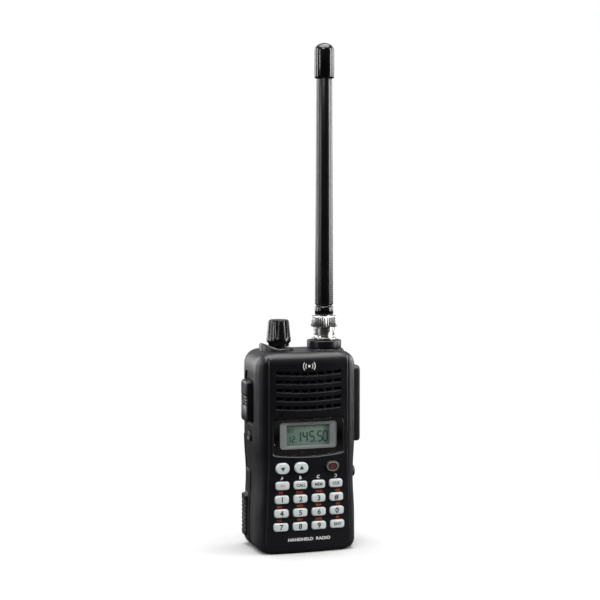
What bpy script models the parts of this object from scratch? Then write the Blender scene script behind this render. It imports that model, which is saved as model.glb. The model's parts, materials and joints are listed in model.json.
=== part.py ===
"""Handheld two-way FM radio with a keypad, a window, a volume knob and a whip antenna.

Frame: +Z up, the radio stands on its base at z = 0, the keypad faces -Y and +X is to the
right of someone who reads the keypad.  The origin is on the base, under the body's middle.
Every size below is in millimetres; meshes are written in metres through MM.
"""
import math

import bmesh
import bpy
from mathutils import Vector

MM = 0.001
GAP = 0.3                       # clearance between parts that touch

# --- body -----------------------------------------------------------------
HALF_WIDTH = 28.0
WAIST_DEPTH = 1.0               # how far each side draws in at the waist
WAIST_Z = 40.0
WAIST_REACH = 22.0
HEIGHT = 108.2
FRONT = -17.25
REAR = 17.25
WALL = 2.2
PLATEAU_TOP = 21.7              # half width of the raised front panel, upper part
PLATEAU_BOTTOM = 23.5
PLATEAU_BULGE = 1.0             # how far the panel's edge lies behind its middle
PLATEAU_STEP = 0.6
FLANK_Y = -8.0                  # where the rounded flank becomes the flat side
SHOULDER = 8.0
TOP_FILLET = 5.8
FOOT_CORNER = 6.0
FOOT_FILLET = 2.0
SEAM_Z = 43.5                   # top of the battery's deep lower block
HOUSING_BACK_LOW = 2.5          # back edge of the front housing below the seam
HOUSING_BACK_HIGH = 12.0
REAR_CORNER = 5.0
TONGUE_Z = 61.5                 # top of the battery's thin upper part

# --- keypad -----------------------------------------------------------------
KEY_BACK = -13.5
KEY_PROUD = 1.2
KEY_HEIGHT = 4.35
KEY_CLEARANCE = 0.35
ROW_TOP_Z = 37.2
ROW_PITCH = 7.45
COLUMN_PITCH = 9.95             # top row; each row below is a little wider
COLUMN_GROWTH = 0.19
KEY_WIDTH = 7.25
KEY_CORNER, OVAL_CORNER = 1.3, 2.8
KEY_GROWTH = 0.2
KEY_ROWS = (
    ("key_func", "key_call", "key_mr", "key_clr"),
    ("key_1", "key_2", "key_3", "key_hash"),
    ("key_4", "key_5", "key_6", "key_0"),
    ("key_7", "key_8", "key_9", "key_ent"),
)
OVAL_KEYS = (("key_down", -14.8), ("key_up", -4.5), ("key_power", 13.05))
OVAL_Z = 46.5
OVAL_WIDTH = 7.4
OVAL_HEIGHT = 5.85
OVAL_RECESS_MARGIN = 0.9
OVAL_RECESS_DEPTH = 0.4

# --- window -----------------------------------------------------------------
LENS_HALF = 19.2
LENS_BOTTOM = 54.2
LENS_SAG = 1.4                  # the lower edge bows down by this much
LENS_TOP = 72.75
LENS_THICK = 1.2
LENS_RECESS_Y = -16.0
BEZEL_HALF = 16.45
BEZEL_LOW, BEZEL_HIGH = 55.95, 71.45
GLASS_HALF = 12.1
GLASS_LOW, GLASS_HIGH = 58.1, 69.05

# --- grille -----------------------------------------------------------------
GROOVES = 5
GROOVE_PITCH = 4.575
GROOVE_LOW = 77.1               # lower edge of the lowest groove at its middle
GROOVE_HEIGHT = 2.45
GROOVE_HALF = 18.2
GROOVE_SMILE = 0.9              # how much higher the ends are
GROOVE_DEPTH = 0.8
SLOTS_PER_GROOVE = 8
SLOT_WIDTH = 3.2
SPEAKER_Z = 89.0
MIC_X, MIC_Z = -15.4, 75.1

# --- top --------------------------------------------------------------------
ANTENNA_X, ANTENNA_Y = 14.35, 2.0
KNOB_X, KNOB_Y = -11.5, 2.0
BOSS_TOP, BOSS_TOP_R = 108.5, 9.9
KNOB_BOSS_TOP = 109.4
CEILING_Z = HEIGHT - WALL - 0.4
BUSH_R = 3.4
COLLAR_LOW, COLLAR_HIGH, COLLAR_R = 108.8, 113.1, 9.4
JACK_THREAD_R = 4.6
JACK_FLANGE_R = 6.55
JACK_BODY_R = 4.8
JACK_TOP = 124.2
STUD_Z = 117.9
STUD_REACH = 5.5
STUD_R = 0.75
NUT_LOW, SKIRT_TOP, NUT_TOP = 115.8, 120.3, 126.4
SKIRT_R, NUT_R, NUT_BORE_R = 5.75, 7.2, 5.1
BAYONET_TURN = math.radians(90.0)
BAYONET_LIFT = 2.0
SLEEVE_TOP, SLEEVE_R = 131.8, 5.05
WHIP_LOW, WHIP_LOW_R, WHIP_HIGH_R = 132.2, 5.0, 4.25
CAP_LOW, ANTENNA_TIP, CAP_R = 255.1, 274.2, 5.35
KNOB_LOW, KNOB_WIDE_Z, KNOB_TOP = 110.4, 113.8, 124.7
KNOB_NECK_R, KNOB_WIDE_R, KNOB_TOP_R = 5.6, 6.6, 5.6
KNOB_FLUTES = 8
SHAFT_R = 1.9

# --- sides ------------------------------------------------------------------
PTT_X = -31.1
PTT_LOW, PTT_HIGH = 69.9, 92.3
PTT_FRONT, PTT_BACK = -3.0, 9.0
PTT_RECESS_LOW, PTT_RECESS_HIGH = 67.8, 96.9
MONITOR_Z, MONITOR_Y, MONITOR_R = 62.1, 0.0, 2.6
JACK_COVER_X = 32.0
JACK_COVER_LOW, JACK_COVER_HIGH = 57.7, 99.3
JACK_COVER_FRONT, JACK_COVER_BACK = -8.5, 4.7
JACK_BLOCK_FRONT, JACK_BLOCK_BACK = -5.2, 3.0
JACK_BLOCK_LOW, JACK_BLOCK_HIGH = 62.5, 94.5
DC_Y, DC_Z, DC_R = -2.6, 40.6, 3.3
GRIP_LOW, GRIP_HIGH, GRIP_X = 5.8, 29.0, 29.6

# --- battery ----------------------------------------------------------------
BATTERY_FRONT = 2.8
BATTERY_WALL = 2.6
CELL = (23.6, 9.6, 34.0)        # width, depth and height of one cell
CONTACT_HALF, CONTACT_LOW, CONTACT_HIGH = 7.0, 33.0, 38.0
LATCH_FLOOR, LATCH_LOW, LATCH_HIGH = 15.0, 62.2, 67.6

# --- chassis ----------------------------------------------------------------
CHASSIS_HALF = 24.2
REAR_FILLET = 3.0
SCREW_X = 23.3
SCREW_HEIGHTS = (66.0, 98.0)
SCREW_BOSS = 3.0
SCREW_R, SCREW_HEAD_R = 1.0, 2.0

ROUND = 24                      # sides of an ordinary round part
FINE = 32                       # sides of the larger round parts


# --- building blocks ----------------------------------------------------------
def clear_scene():
    """Remove whatever the file holds, so the model starts empty."""
    for thing in list(bpy.data.objects):
        bpy.data.objects.remove(thing, do_unlink=True)


def finish_material(name, colour, roughness, metallic=0.0, alpha=1.0):
    """One Principled material; colour is linear RGB."""
    mat = bpy.data.materials.new(name)
    mat.use_nodes = True
    shader = mat.node_tree.nodes["Principled BSDF"]
    shader.inputs["Base Color"].default_value = (*colour, 1.0)
    shader.inputs["Roughness"].default_value = roughness
    shader.inputs["Metallic"].default_value = metallic
    shader.inputs["Alpha"].default_value = alpha
    mat.diffuse_color = (*colour, 1.0)
    return mat


def add_solid(name, verts, faces, look=None, origin=(0.0, 0.0, 0.0)):
    """Make a closed mesh object from millimetre points, faces turned outwards."""
    mesh = bpy.data.meshes.new(name)
    shift = Vector(origin)
    points = [(Vector(v) - shift) * MM for v in verts]
    mesh.from_pydata(points, [], faces)
    shell = bmesh.new()
    shell.from_mesh(mesh)
    bmesh.ops.recalc_face_normals(shell, faces=shell.faces)
    shell.to_mesh(mesh)
    shell.free()
    thing = bpy.data.objects.new(name, mesh)
    thing.location = shift * MM
    bpy.context.collection.objects.link(thing)
    if look:
        mesh.materials.append(finish_material(name, *look))
        mesh.shade_smooth()
        mesh.set_sharp_from_angle(angle=math.radians(30.0))
    return thing


def loft(rings, closed=False):
    """Skin a list of equal rings; the ends are capped unless the rings form a loop."""
    count = len(rings[0])
    verts = [p for ring in rings for p in ring]
    faces = []
    spans = len(rings) if closed else len(rings) - 1
    for i in range(spans):
        low = i * count
        high = ((i + 1) % len(rings)) * count
        for j in range(count):
            k = (j + 1) % count
            faces.append((low + j, low + k, high + k, high + j))
    if not closed:
        faces.append(tuple(reversed(range(count))))
        faces.append(tuple(range((len(rings) - 1) * count, len(rings) * count)))
    return verts, faces


def turned(profile, centre, axis="Z", steps=ROUND):
    """Turn a closed outline of (radius, height) points; radius 0 makes a point on the axis."""
    verts, faces, rows = [], [], []
    for radius, height in profile:
        if radius == 0.0:
            rows.append([len(verts)])
            verts.append((0.0, 0.0, height))
            continue
        row = []
        for i in range(steps):
            angle = 2.0 * math.pi * i / steps
            row.append(len(verts))
            verts.append((radius * math.cos(angle), radius * math.sin(angle), height))
        rows.append(row)
    for low, high in zip(rows, rows[1:] + rows[:1]):
        for i in range(steps):
            k = (i + 1) % steps
            corners = [low[i % len(low)], low[k % len(low)], high[k % len(high)], high[i % len(high)]]
            face = tuple(dict.fromkeys(corners))
            if len(face) > 2:
                faces.append(face)
    return [place(v, centre, axis) for v in verts], faces


def place(point, centre, axis):
    """Move a point modelled along +Z to a centre and an axis."""
    x, y, z = point
    if axis == "X":
        x, y, z = z, x, y
    elif axis == "Y":
        x, y, z = x, z, y
    return (x + centre[0], y + centre[1], z + centre[2])


def drum(radius, low, high, centre, axis="Z", steps=ROUND, chamfer=0.0):
    """A plain cylinder, with a small chamfer at its far end if wanted."""
    profile = [(0.0, low), (radius, low), (radius, high - chamfer)]
    if chamfer:
        profile.append((radius - chamfer, high))
    profile.append((0.0, high))
    return turned(profile, centre, axis, steps)


def box(low, high):
    """An axis-aligned block between two corners."""
    rings = []
    for z in (low[2], high[2]):
        rings.append([(low[0], low[1], z), (high[0], low[1], z), (high[0], high[1], z),
                      (low[0], high[1], z)])
    return loft(rings)


def rounded_outline(half_u, half_v, radius, steps=3):
    """A rectangle with round corners, as (u, v) points around its middle."""
    radius = min(radius, half_u, half_v)
    points = []
    for corner, (su, sv) in enumerate(((1, 1), (-1, 1), (-1, -1), (1, -1))):
        for i in range(steps + 1):
            angle = math.pi / 2.0 * (corner + i / steps)
            u = su * (half_u - radius) + radius * math.cos(angle)
            v = sv * (half_v - radius) + radius * math.sin(angle)
            points.append((u, v))
    return points


def rounded_block(low, high, axis, radius, chamfer=0.0, steps=3):
    """A block with round edges along one axis and a chamfer round its outer end.

    The outer end is the high end, or the low end when chamfer is negative.
    """
    order = {"X": (1, 2, 0), "Y": (0, 2, 1), "Z": (0, 1, 2)}[axis]
    a, b, c = order
    middle = ((low[a] + high[a]) / 2.0, (low[b] + high[b]) / 2.0)
    half = ((high[a] - low[a]) / 2.0, (high[b] - low[b]) / 2.0)
    cut = abs(chamfer)
    levels = [(low[c], 0.0), (high[c] - cut, 0.0), (high[c], cut)]
    if chamfer < 0.0:
        levels = [(low[c], cut), (low[c] + cut, 0.0), (high[c], 0.0)]
    if cut == 0.0:
        levels = [(low[c], 0.0), (high[c], 0.0)]
    rings = []
    for level, inset in levels:
        ring = []
        for u, v in rounded_outline(half[0] - inset, half[1] - inset, max(radius - inset, 0.2), steps):
            point = [0.0, 0.0, 0.0]
            point[a] = middle[0] + u
            point[b] = middle[1] + v
            point[c] = level
            ring.append(tuple(point))
        rings.append(ring)
    return loft(rings)


def merged(*solids):
    """Put several closed shapes into one list of points and faces, for a cutter."""
    verts, faces = [], []
    for points, polygons in solids:
        base = len(verts)
        verts.extend(points)
        faces.extend(tuple(i + base for i in face) for face in polygons)
    return verts, faces


def tool(name, solid):
    """A shape that only cuts or joins: hidden in renders, drawn as wire."""
    thing = add_solid(name, *solid)
    thing.hide_render = True
    thing.display_type = "WIRE"
    return thing


def boolean(target, solid, operation):
    """Cut a shape from a part, join it on, or keep only what they share."""
    number = len(target.modifiers)
    modifier = target.modifiers.new(f"{operation.lower()}_{number}", "BOOLEAN")
    modifier.operation = operation
    modifier.solver = "EXACT"
    modifier.object = tool(f"tool_{target.name}_{number}", solid)


def cut(target, *solids):
    """Take one or more tools, which don't touch each other, out of a part."""
    boolean(target, merged(*solids), "DIFFERENCE")


def join(target, *solids):
    """Grow one or more solids onto a part."""
    for solid in solids:
        boolean(target, solid, "UNION")


# --- outline of the body --------------------------------------------------------
def quarter_drop(distance, radius):
    """How far a fillet of this radius has drawn in, this far past its start."""
    distance = min(max(distance, 0.0), radius)
    return radius - math.sqrt(max(radius * radius - distance * distance, 0.0))


def half_width(z):
    """Half width of the body at a height: waist, shoulders and foot corners."""
    reach = min(abs(z - WAIST_Z) / WAIST_REACH, 1.0)
    width = HALF_WIDTH - WAIST_DEPTH * (0.5 + 0.5 * math.cos(math.pi * reach))
    width -= quarter_drop(z - (HEIGHT - SHOULDER), SHOULDER)
    return width - quarter_drop(FOOT_CORNER - z, FOOT_CORNER)


def front_y(z):
    """Where the middle of the front panel lies at a height."""
    top = quarter_drop(z - (HEIGHT - TOP_FILLET), TOP_FILLET)
    return FRONT + top + quarter_drop(FOOT_FILLET - z, FOOT_FILLET)


def plateau_half(z):
    """Half width of the raised front panel at a height."""
    share = min(max((50.0 - z) / 45.0, 0.0), 1.0)
    flat = PLATEAU_TOP + (PLATEAU_BOTTOM - PLATEAU_TOP) * share
    return min(flat, half_width(z) - 4.0)


def panel_y(x, z):
    """The front panel's surface at a point: slightly bowed from side to side."""
    return front_y(z) + PLATEAU_BULGE * (x / plateau_half(z)) ** 2


def front_section(z, back, inset=0.0):
    """The plan outline of the front housing at a height, moved in by a wall."""
    edge = plateau_half(z) - inset
    width = half_width(z) - inset
    shoulder_y = front_y(z) + PLATEAU_BULGE + PLATEAU_STEP + inset
    right = []
    for i in range(5):
        x = edge * i / 4.0
        right.append((x, front_y(z) + inset + PLATEAU_BULGE * (i / 4.0) ** 2))
    start = edge + PLATEAU_STEP
    for i in range(7):
        angle = math.pi / 2.0 * i / 6.0
        x = start + (width - start) * math.sin(angle)
        right.append((x, FLANK_Y - (FLANK_Y - shoulder_y) * math.cos(angle)))
    right.append((width, back))
    left = [(-x, y) for x, y in reversed(right[1:])]
    return [(x, y, z) for x, y in right + left]


def rear_section(z, front, width, rear=REAR):
    """The plan outline of a rear part: straight in front, round corners behind."""
    radius = min(REAR_CORNER, rear - front - 0.4)
    right = [(width, front)]
    for i in range(6):
        angle = math.pi / 2.0 * i / 5.0
        right.append((width - radius + radius * math.cos(angle), rear - radius + radius * math.sin(angle)))
    left = [(-x, y) for x, y in reversed(right)]
    return [(x, y, z) for x, y in right + left]


def body_levels(low, high):
    """Heights where the body's outline is sampled: close together at the fillets."""
    levels = {low, high}
    for z in (10.0, 20.0, 30.0, 40.0, 50.0, 60.0, 80.0, HEIGHT - SHOULDER):
        levels.add(z)
    for i in range(1, 6):
        levels.add(FOOT_CORNER * (1.0 - math.sin(math.pi / 2.0 * i / 5.0)))
        levels.add(HEIGHT - SHOULDER + SHOULDER * math.sin(math.pi / 2.0 * i / 5.0))
    return sorted(z for z in levels if low <= z <= high)


# --- front housing ----------------------------------------------------------------
def key_places():
    """Yield name, x, z, half width and half height of every key."""
    for row, names in enumerate(KEY_ROWS):
        pitch = COLUMN_PITCH + COLUMN_GROWTH * row
        for column, name in enumerate(names):
            x = pitch * (column - 1.5)
            z = ROW_TOP_Z - ROW_PITCH * row
            yield name, x, z, (KEY_WIDTH + KEY_GROWTH * row) / 2.0, KEY_HEIGHT / 2.0
    for name, x in OVAL_KEYS:
        yield name, x, OVAL_Z, OVAL_WIDTH / 2.0, OVAL_HEIGHT / 2.0


def key_radius(name):
    """Corner radius of a key: the oval ones are almost half round at their ends."""
    return OVAL_CORNER if name in dict(OVAL_KEYS) else KEY_CORNER


def groove_solid(index):
    """One smile-curved band across the grille, cut to an even depth."""
    rings = []
    for i in range(13):
        x = -GROOVE_HALF + 2.0 * GROOVE_HALF * i / 12.0
        low = GROOVE_LOW + index * GROOVE_PITCH + GROOVE_SMILE * (x / GROOVE_HALF) ** 2
        high = low + GROOVE_HEIGHT
        floor = panel_y(x, 90.0) + GROOVE_DEPTH
        rings.append([(x, FRONT - 1.0, low), (x, floor, low), (x, floor, high), (x, FRONT - 1.0, high)])
    return loft(rings)


def grille_slots():
    """The openings through the wall at the bottom of each groove."""
    slots = []
    pitch = 2.0 * GROOVE_HALF / SLOTS_PER_GROOVE
    for index in range(GROOVES):
        for number in range(SLOTS_PER_GROOVE):
            x = pitch * (number + 0.5) - GROOVE_HALF
            low = GROOVE_LOW + index * GROOVE_PITCH + GROOVE_SMILE * (x / GROOVE_HALF) ** 2 + 0.4
            slots.append(box((x - SLOT_WIDTH / 2.0, FRONT - 1.0, low),
                             (x + SLOT_WIDTH / 2.0, FRONT + 6.0, low + GROOVE_HEIGHT - 0.8)))
    return slots


def lens_solid(inset, front, back):
    """The window's plate: it follows the bowed panel and its lower edge bows down."""
    half = LENS_HALF - inset
    rings = []
    for i in range(13):
        x = half * math.sin(math.pi / 2.0 * (i - 6) / 6.0)
        low = LENS_BOTTOM + inset - LENS_SAG * (1.0 - (x / half) ** 2)
        high = LENS_TOP - inset
        if i in (0, 12):
            low += 0.6
            high -= 0.6
        near = panel_y(x, 60.0) + front
        far = panel_y(x, 60.0) + back
        rings.append([(x, near, low), (x, far, low), (x, far, high), (x, near, high)])
    return loft(rings)


def knob_guard():
    """A crescent wall round the knob's left side, highest at the far left."""
    rings = []
    for i in range(13):
        share = i / 12.0
        angle = math.radians(95.0 + 170.0 * share)
        top = 108.6 + 3.4 * math.sin(math.pi * share) ** 0.8
        ring = []
        for radius, z in ((8.2, 106.5), (10.6, 106.5), (10.3, top - 0.5), (9.4, top), (8.2, top - 0.4)):
            ring.append((KNOB_X + radius * math.cos(angle), KNOB_Y + radius * math.sin(angle), z))
        rings.append(ring)
    return loft(rings)


def key_holes():
    """The openings that the keys pass through."""
    holes = []
    for name, x, z, half_x, half_z in key_places():
        u, v = half_x + KEY_CLEARANCE, half_z + KEY_CLEARANCE
        holes.append(rounded_block((x - u, FRONT - 3.0, z - v), (x + u, FRONT + 6.0, z + v), "Y",
                                   key_radius(name) + KEY_CLEARANCE))
    return holes


def oval_recess():
    """The shallow hollow shared by the down and up keys."""
    low_x = OVAL_KEYS[0][1] - OVAL_WIDTH / 2.0 - OVAL_RECESS_MARGIN
    high_x = OVAL_KEYS[1][1] + OVAL_WIDTH / 2.0 + OVAL_RECESS_MARGIN
    half_z = OVAL_HEIGHT / 2.0 + OVAL_RECESS_MARGIN
    return rounded_block((low_x, FRONT - 3.0, OVAL_Z - half_z),
                         (high_x, FRONT + OVAL_RECESS_DEPTH, OVAL_Z + half_z), "Y", 3.6)


def make_front_housing():
    """The front shell: raised panel, grille, window, key holes and side openings."""
    look = ((0.012, 0.012, 0.014), 0.5)
    outer = [front_section(z, HOUSING_BACK_HIGH) for z in body_levels(0.0, HEIGHT)]
    housing = add_solid("front_housing", *loft(outer), look)
    antenna_boss = turned([(0.0, 102.0), (12.2, 102.0), (11.9, 105.5), (BOSS_TOP_R, BOSS_TOP), (0.0, BOSS_TOP)],
                          (ANTENNA_X, ANTENNA_Y, 0.0), steps=FINE)
    knob_boss = drum(8.0, 104.0, KNOB_BOSS_TOP, (KNOB_X, KNOB_Y, 0.0), chamfer=0.5)
    join(housing, antenna_boss, knob_boss, knob_guard())
    inner = [front_section(z, HOUSING_BACK_HIGH + 1.0, WALL) for z in body_levels(WALL, CEILING_Z)]
    cut(housing, loft(inner))
    for side in (-1, 1):
        for z in SCREW_HEIGHTS:
            x = side * SCREW_X
            join(housing, box((x - SCREW_BOSS, 6.0, z - SCREW_BOSS),
                              (x + side * 0.5 + SCREW_BOSS, HOUSING_BACK_HIGH - 0.1, z + SCREW_BOSS)))
    cut(housing, box((-40.0, HOUSING_BACK_HIGH, SEAM_Z - 1.0), (40.0, 30.0, 120.0)))
    cut(housing, box((-41.0, HOUSING_BACK_LOW, -1.0), (41.0, 31.0, SEAM_Z)))
    cut(housing, *[groove_solid(i) for i in range(GROOVES)], oval_recess(), lens_solid(-GAP, -3.0, LENS_THICK + 0.5))
    cut(housing, *grille_slots(), *key_holes(),
        box((-BEZEL_HALF - 0.4, FRONT - 3.0, BEZEL_LOW - 0.4), (BEZEL_HALF + 0.4, FRONT + 6.0, BEZEL_HIGH + 0.4)),
        drum(0.8, FRONT - 3.0, FRONT + 6.0, (MIC_X, 0.0, MIC_Z), "Y", 12))
    cut(housing, box((-40.0, PTT_FRONT - 2.4, PTT_RECESS_LOW), (0.8 - HALF_WIDTH, PTT_BACK + 2.0, PTT_RECESS_HIGH)))
    cut(housing,
        box((-40.0, PTT_FRONT - 0.4, PTT_LOW - 0.4), (-22.0, PTT_BACK + 0.4, PTT_HIGH + 0.4)),
        drum(MONITOR_R + 0.4, -40.0, -22.0, (0.0, MONITOR_Y, MONITOR_Z), "X", 24),
        box((22.0, JACK_BLOCK_FRONT - 0.4, JACK_BLOCK_LOW - 0.4), (40.0, JACK_BLOCK_BACK + 0.4, JACK_BLOCK_HIGH + 0.4)),
        drum(DC_R + 0.3, 22.0, 40.0, (0.0, DC_Y, DC_Z), "X", 24),
        drum(JACK_THREAD_R + 0.4, 100.0, 120.0, (ANTENNA_X, ANTENNA_Y, 0.0)),
        drum(BUSH_R + 0.4, 100.0, 120.0, (KNOB_X, KNOB_Y, 0.0)),
        *[drum(SCREW_R + 0.3, 5.0, 13.0, (side * SCREW_X, 0.0, z), "Y", 16)
          for side in (-1, 1) for z in SCREW_HEIGHTS])


# --- rear parts -------------------------------------------------------------------
def make_rear_chassis():
    """The cast frame: a plate behind the boards, a shelf and the upper rear cover."""
    look = ((0.020, 0.020, 0.022), 0.45, 0.3)
    levels = body_levels(TONGUE_Z + GAP, HEIGHT)
    rings = []
    for z in levels:
        rear = REAR - quarter_drop(z - (HEIGHT - REAR_FILLET), REAR_FILLET)
        rings.append(rear_section(z, HOUSING_BACK_HIGH + GAP, half_width(z), rear))
    chassis = add_solid("rear_chassis", *loft(rings), look)
    cut(chassis, box((-17.5, 10.0, 71.0), (17.5, REAR - 2.6, 104.0)))
    plate = [(0.6, 5.0), (2.2, 5.0), (2.2, SEAM_Z + GAP), (11.7, SEAM_Z + GAP), (11.7, 62.4),
             (10.1, 62.4), (10.1, SEAM_Z + 2.0), (0.6, SEAM_Z + 2.0)]
    join(chassis,
         box((-19.0, 10.1, TONGUE_Z + 0.5), (19.0, HOUSING_BACK_HIGH + 1.5, 64.5)),
         loft([[(x, y, z) for y, z in plate] for x in (-CHASSIS_HALF, CHASSIS_HALF)]))
    cut(chassis,
        box((-9.0, LATCH_FLOOR, 58.0), (9.0, 30.0, 70.2)),
        box((-CONTACT_HALF - GAP, -1.0, CONTACT_LOW - GAP), (CONTACT_HALF + GAP, 4.0, CONTACT_HIGH + GAP)))
    centres = [(side * SCREW_X, 0.0, z) for side in (-1, 1) for z in SCREW_HEIGHTS]
    cut(chassis, *[drum(SCREW_R + 0.3, 10.0, 30.0, centre, "Y", 16) for centre in centres])
    cut(chassis, *[drum(SCREW_HEAD_R + 0.3, REAR - 1.8, 31.0, centre, "Y", 24) for centre in centres])


def make_chassis_screws():
    """Four screws that hold the chassis to the front housing."""
    names = ("upper_left", "upper_right", "lower_left", "lower_right")
    places = [(side * SCREW_X, z) for z in reversed(SCREW_HEIGHTS) for side in (-1, 1)]
    for name, (x, z) in zip(names, places):
        head = REAR - 1.5
        profile = [(0.0, 7.0), (SCREW_R, 7.0), (SCREW_R, head), (SCREW_HEAD_R, head),
                   (SCREW_HEAD_R, REAR - 0.4), (SCREW_HEAD_R - 0.4, REAR - 0.1), (0.0, REAR - 0.1)]
        solid = turned(profile, (x, 0.0, z), "Y", 16)
        add_solid(f"chassis_screw_{name}", *solid, ((0.05, 0.05, 0.05), 0.35, 0.9))


def make_battery():
    """The battery pack: case, cover, two cells and its terminals."""
    black = ((0.013, 0.013, 0.015), 0.55)
    rings = []
    for z in body_levels(0.0, TONGUE_Z):
        rear = REAR - quarter_drop(FOOT_FILLET - z, FOOT_FILLET)
        rings.append(rear_section(z, BATTERY_FRONT, half_width(z) + 0.4, rear))
    case = add_solid("battery_case", *loft(rings), black)
    for side in (-1, 1):
        low_x, high_x = sorted((side * 25.0, side * GRIP_X))
        join(case, rounded_block((low_x, 6.0, GRIP_LOW), (high_x, 14.0, GRIP_HIGH), "X", 2.0, side * 0.8))
    cut(case,
        box((-40.0, -5.0, SEAM_Z - GAP), (40.0, HOUSING_BACK_HIGH + GAP, 80.0)),
        box((-25.0, -5.0, 2.8), (25.0, REAR - BATTERY_WALL, 40.6)))
    cover = add_solid("battery_cover",
                      *box((-24.7, BATTERY_FRONT, 3.1), (24.7, BATTERY_FRONT + 1.6, 40.3)), black)
    cut(cover, box((-CONTACT_HALF - GAP, -5.0, CONTACT_LOW - GAP), (CONTACT_HALF + GAP, 9.0, CONTACT_HIGH + GAP)))
    add_solid("battery_terminals",
              *box((-CONTACT_HALF, BATTERY_FRONT + 0.2, CONTACT_LOW), (CONTACT_HALF, BATTERY_FRONT + 1.6, CONTACT_HIGH)),
              ((0.75, 0.6, 0.3), 0.3, 1.0))
    width, depth, height = CELL
    for name, side in (("left", -1), ("right", 1)):
        middle = side * (width / 2.0 + 0.4)
        solid = rounded_block((middle - width / 2.0, BATTERY_FRONT + 1.9, 4.0),
                              (middle + width / 2.0, BATTERY_FRONT + 1.9 + depth, 4.0 + height), "Z", 3.0)
        add_solid(f"battery_cell_{name}", *solid, ((0.06, 0.16, 0.32), 0.5))


def make_battery_latch():
    """The sliding catch above the battery, in a pocket of the rear chassis."""
    origin = (0.0, LATCH_FLOOR, LATCH_LOW)
    latch = add_solid("battery_latch",
                      *rounded_block((-8.6, LATCH_FLOOR + GAP, LATCH_LOW), (8.6, REAR - 0.05, LATCH_HIGH), "Y", 1.0, 0.4),
                      ((0.02, 0.02, 0.022), 0.5), origin)
    ribs = [box((-6.5, REAR - 0.35, LATCH_LOW + 1.0 + i * 1.2), (6.5, 30.0, LATCH_LOW + 1.5 + i * 1.2)) for i in range(3)]
    cut(latch, *ribs)


# --- inside ----------------------------------------------------------------------------
def make_electronics():
    """Everything between the front wall and the chassis plate."""
    add_solid("main_board", *box((-23.4, -7.2, 5.5), (23.4, -5.6, 104.0)), ((0.02, 0.16, 0.07), 0.5))
    add_solid("shield_can", *box((-14.0, -5.3, 50.0), (14.0, -1.4, 74.0)), ((0.6, 0.6, 0.6), 0.35, 1.0))
    add_solid("keypad_mat", *box((-22.0, -12.3, 10.0), (22.0, -9.9, 50.6)), ((0.5, 0.5, 0.5), 0.7))
    add_solid("speaker",
              *turned([(0.0, -13.75), (15.0, -13.75), (15.0, -12.3), (9.0, -10.6), (9.0, -8.0), (0.0, -8.0)],
                      (0.0, 0.0, SPEAKER_Z), "Y"), ((0.03, 0.03, 0.03), 0.6))
    add_solid("speaker_gauze", *drum(15.0, -14.35, -14.05, (0.0, 0.0, SPEAKER_Z), "Y"), ((0.01, 0.01, 0.01), 0.9))
    add_solid("microphone", *drum(2.0, -14.2, -11.6, (MIC_X, 0.0, MIC_Z), "Y", 20), ((0.5, 0.5, 0.5), 0.4, 0.8))
    add_solid("contact_block", *box((-CONTACT_HALF, -1.0, CONTACT_LOW), (CONTACT_HALF, 2.3, CONTACT_HIGH)),
              ((0.75, 0.6, 0.3), 0.3, 1.0))
    add_solid("ptt_switch", *box((-21.6, 0.0, 75.0), (-18.6, 6.0, 87.0)), ((0.1, 0.1, 0.1), 0.5))
    block = add_solid("jack_block",
                      *box((18.0, JACK_BLOCK_FRONT, JACK_BLOCK_LOW), (26.6, JACK_BLOCK_BACK, JACK_BLOCK_HIGH)),
                      ((0.03, 0.03, 0.03), 0.5))
    middle = (JACK_BLOCK_FRONT + JACK_BLOCK_BACK) / 2.0
    cut(block, drum(1.75, 20.0, 40.0, (0.0, middle, 87.0), "X", 20),
        drum(1.25, 20.0, 40.0, (0.0, middle, 75.0), "X", 20))
    socket = add_solid("dc_jack", *box((17.5, -5.3, DC_Z - 3.2), (24.4, 0.3, DC_Z + 3.2)), ((0.03, 0.03, 0.03), 0.5))
    cut(socket, drum(1.9, 20.0, 40.0, (0.0, DC_Y, DC_Z), "X", 20))


def make_window():
    """The window from the outside in: lens, bezel, display glass and light guide."""
    add_solid("lcd_window", *lens_solid(0.0, 0.1, 0.1 + LENS_THICK), ((0.02, 0.02, 0.02), 0.08))
    bezel = add_solid("lcd_bezel",
                      *box((-BEZEL_HALF, FRONT + 2.2, BEZEL_LOW), (BEZEL_HALF, FRONT + 3.3, BEZEL_HIGH)),
                      ((0.22, 0.22, 0.21), 0.5))
    cut(bezel, box((-GLASS_HALF, -30.0, GLASS_LOW), (GLASS_HALF, 0.0, GLASS_HIGH)))
    low = (-GLASS_HALF - 1.4, FRONT + 3.6, GLASS_LOW - 1.2)
    high = (GLASS_HALF + 1.4, FRONT + 5.2, GLASS_HIGH + 1.2)
    add_solid("lcd_glass", *box(low, high), ((0.20, 0.28, 0.24), 0.15))
    add_solid("lcd_backlight", *box((low[0], high[1] + GAP, low[2]), (high[0], high[1] + GAP + 2.2, high[2])),
              ((0.7, 0.7, 0.6), 0.4))


# --- controls -----------------------------------------------------------------------------
def make_keys():
    """Nineteen keys; each slides straight in, so its origin is on its own middle."""
    for name, x, z, half_x, half_z in key_places():
        proud = KEY_PROUD if half_z < 3.0 else KEY_PROUD - 0.4
        near = panel_y(x, z) - proud
        solid = rounded_block((x - half_x, near, z - half_z), (x + half_x, KEY_BACK, z + half_z), "Y",
                              key_radius(name), -0.5)
        colour = (0.04, 0.04, 0.045) if name == "key_power" else (0.60, 0.63, 0.63)
        add_solid(name, *solid, (colour, 0.45), (x, KEY_BACK, z))


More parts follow.
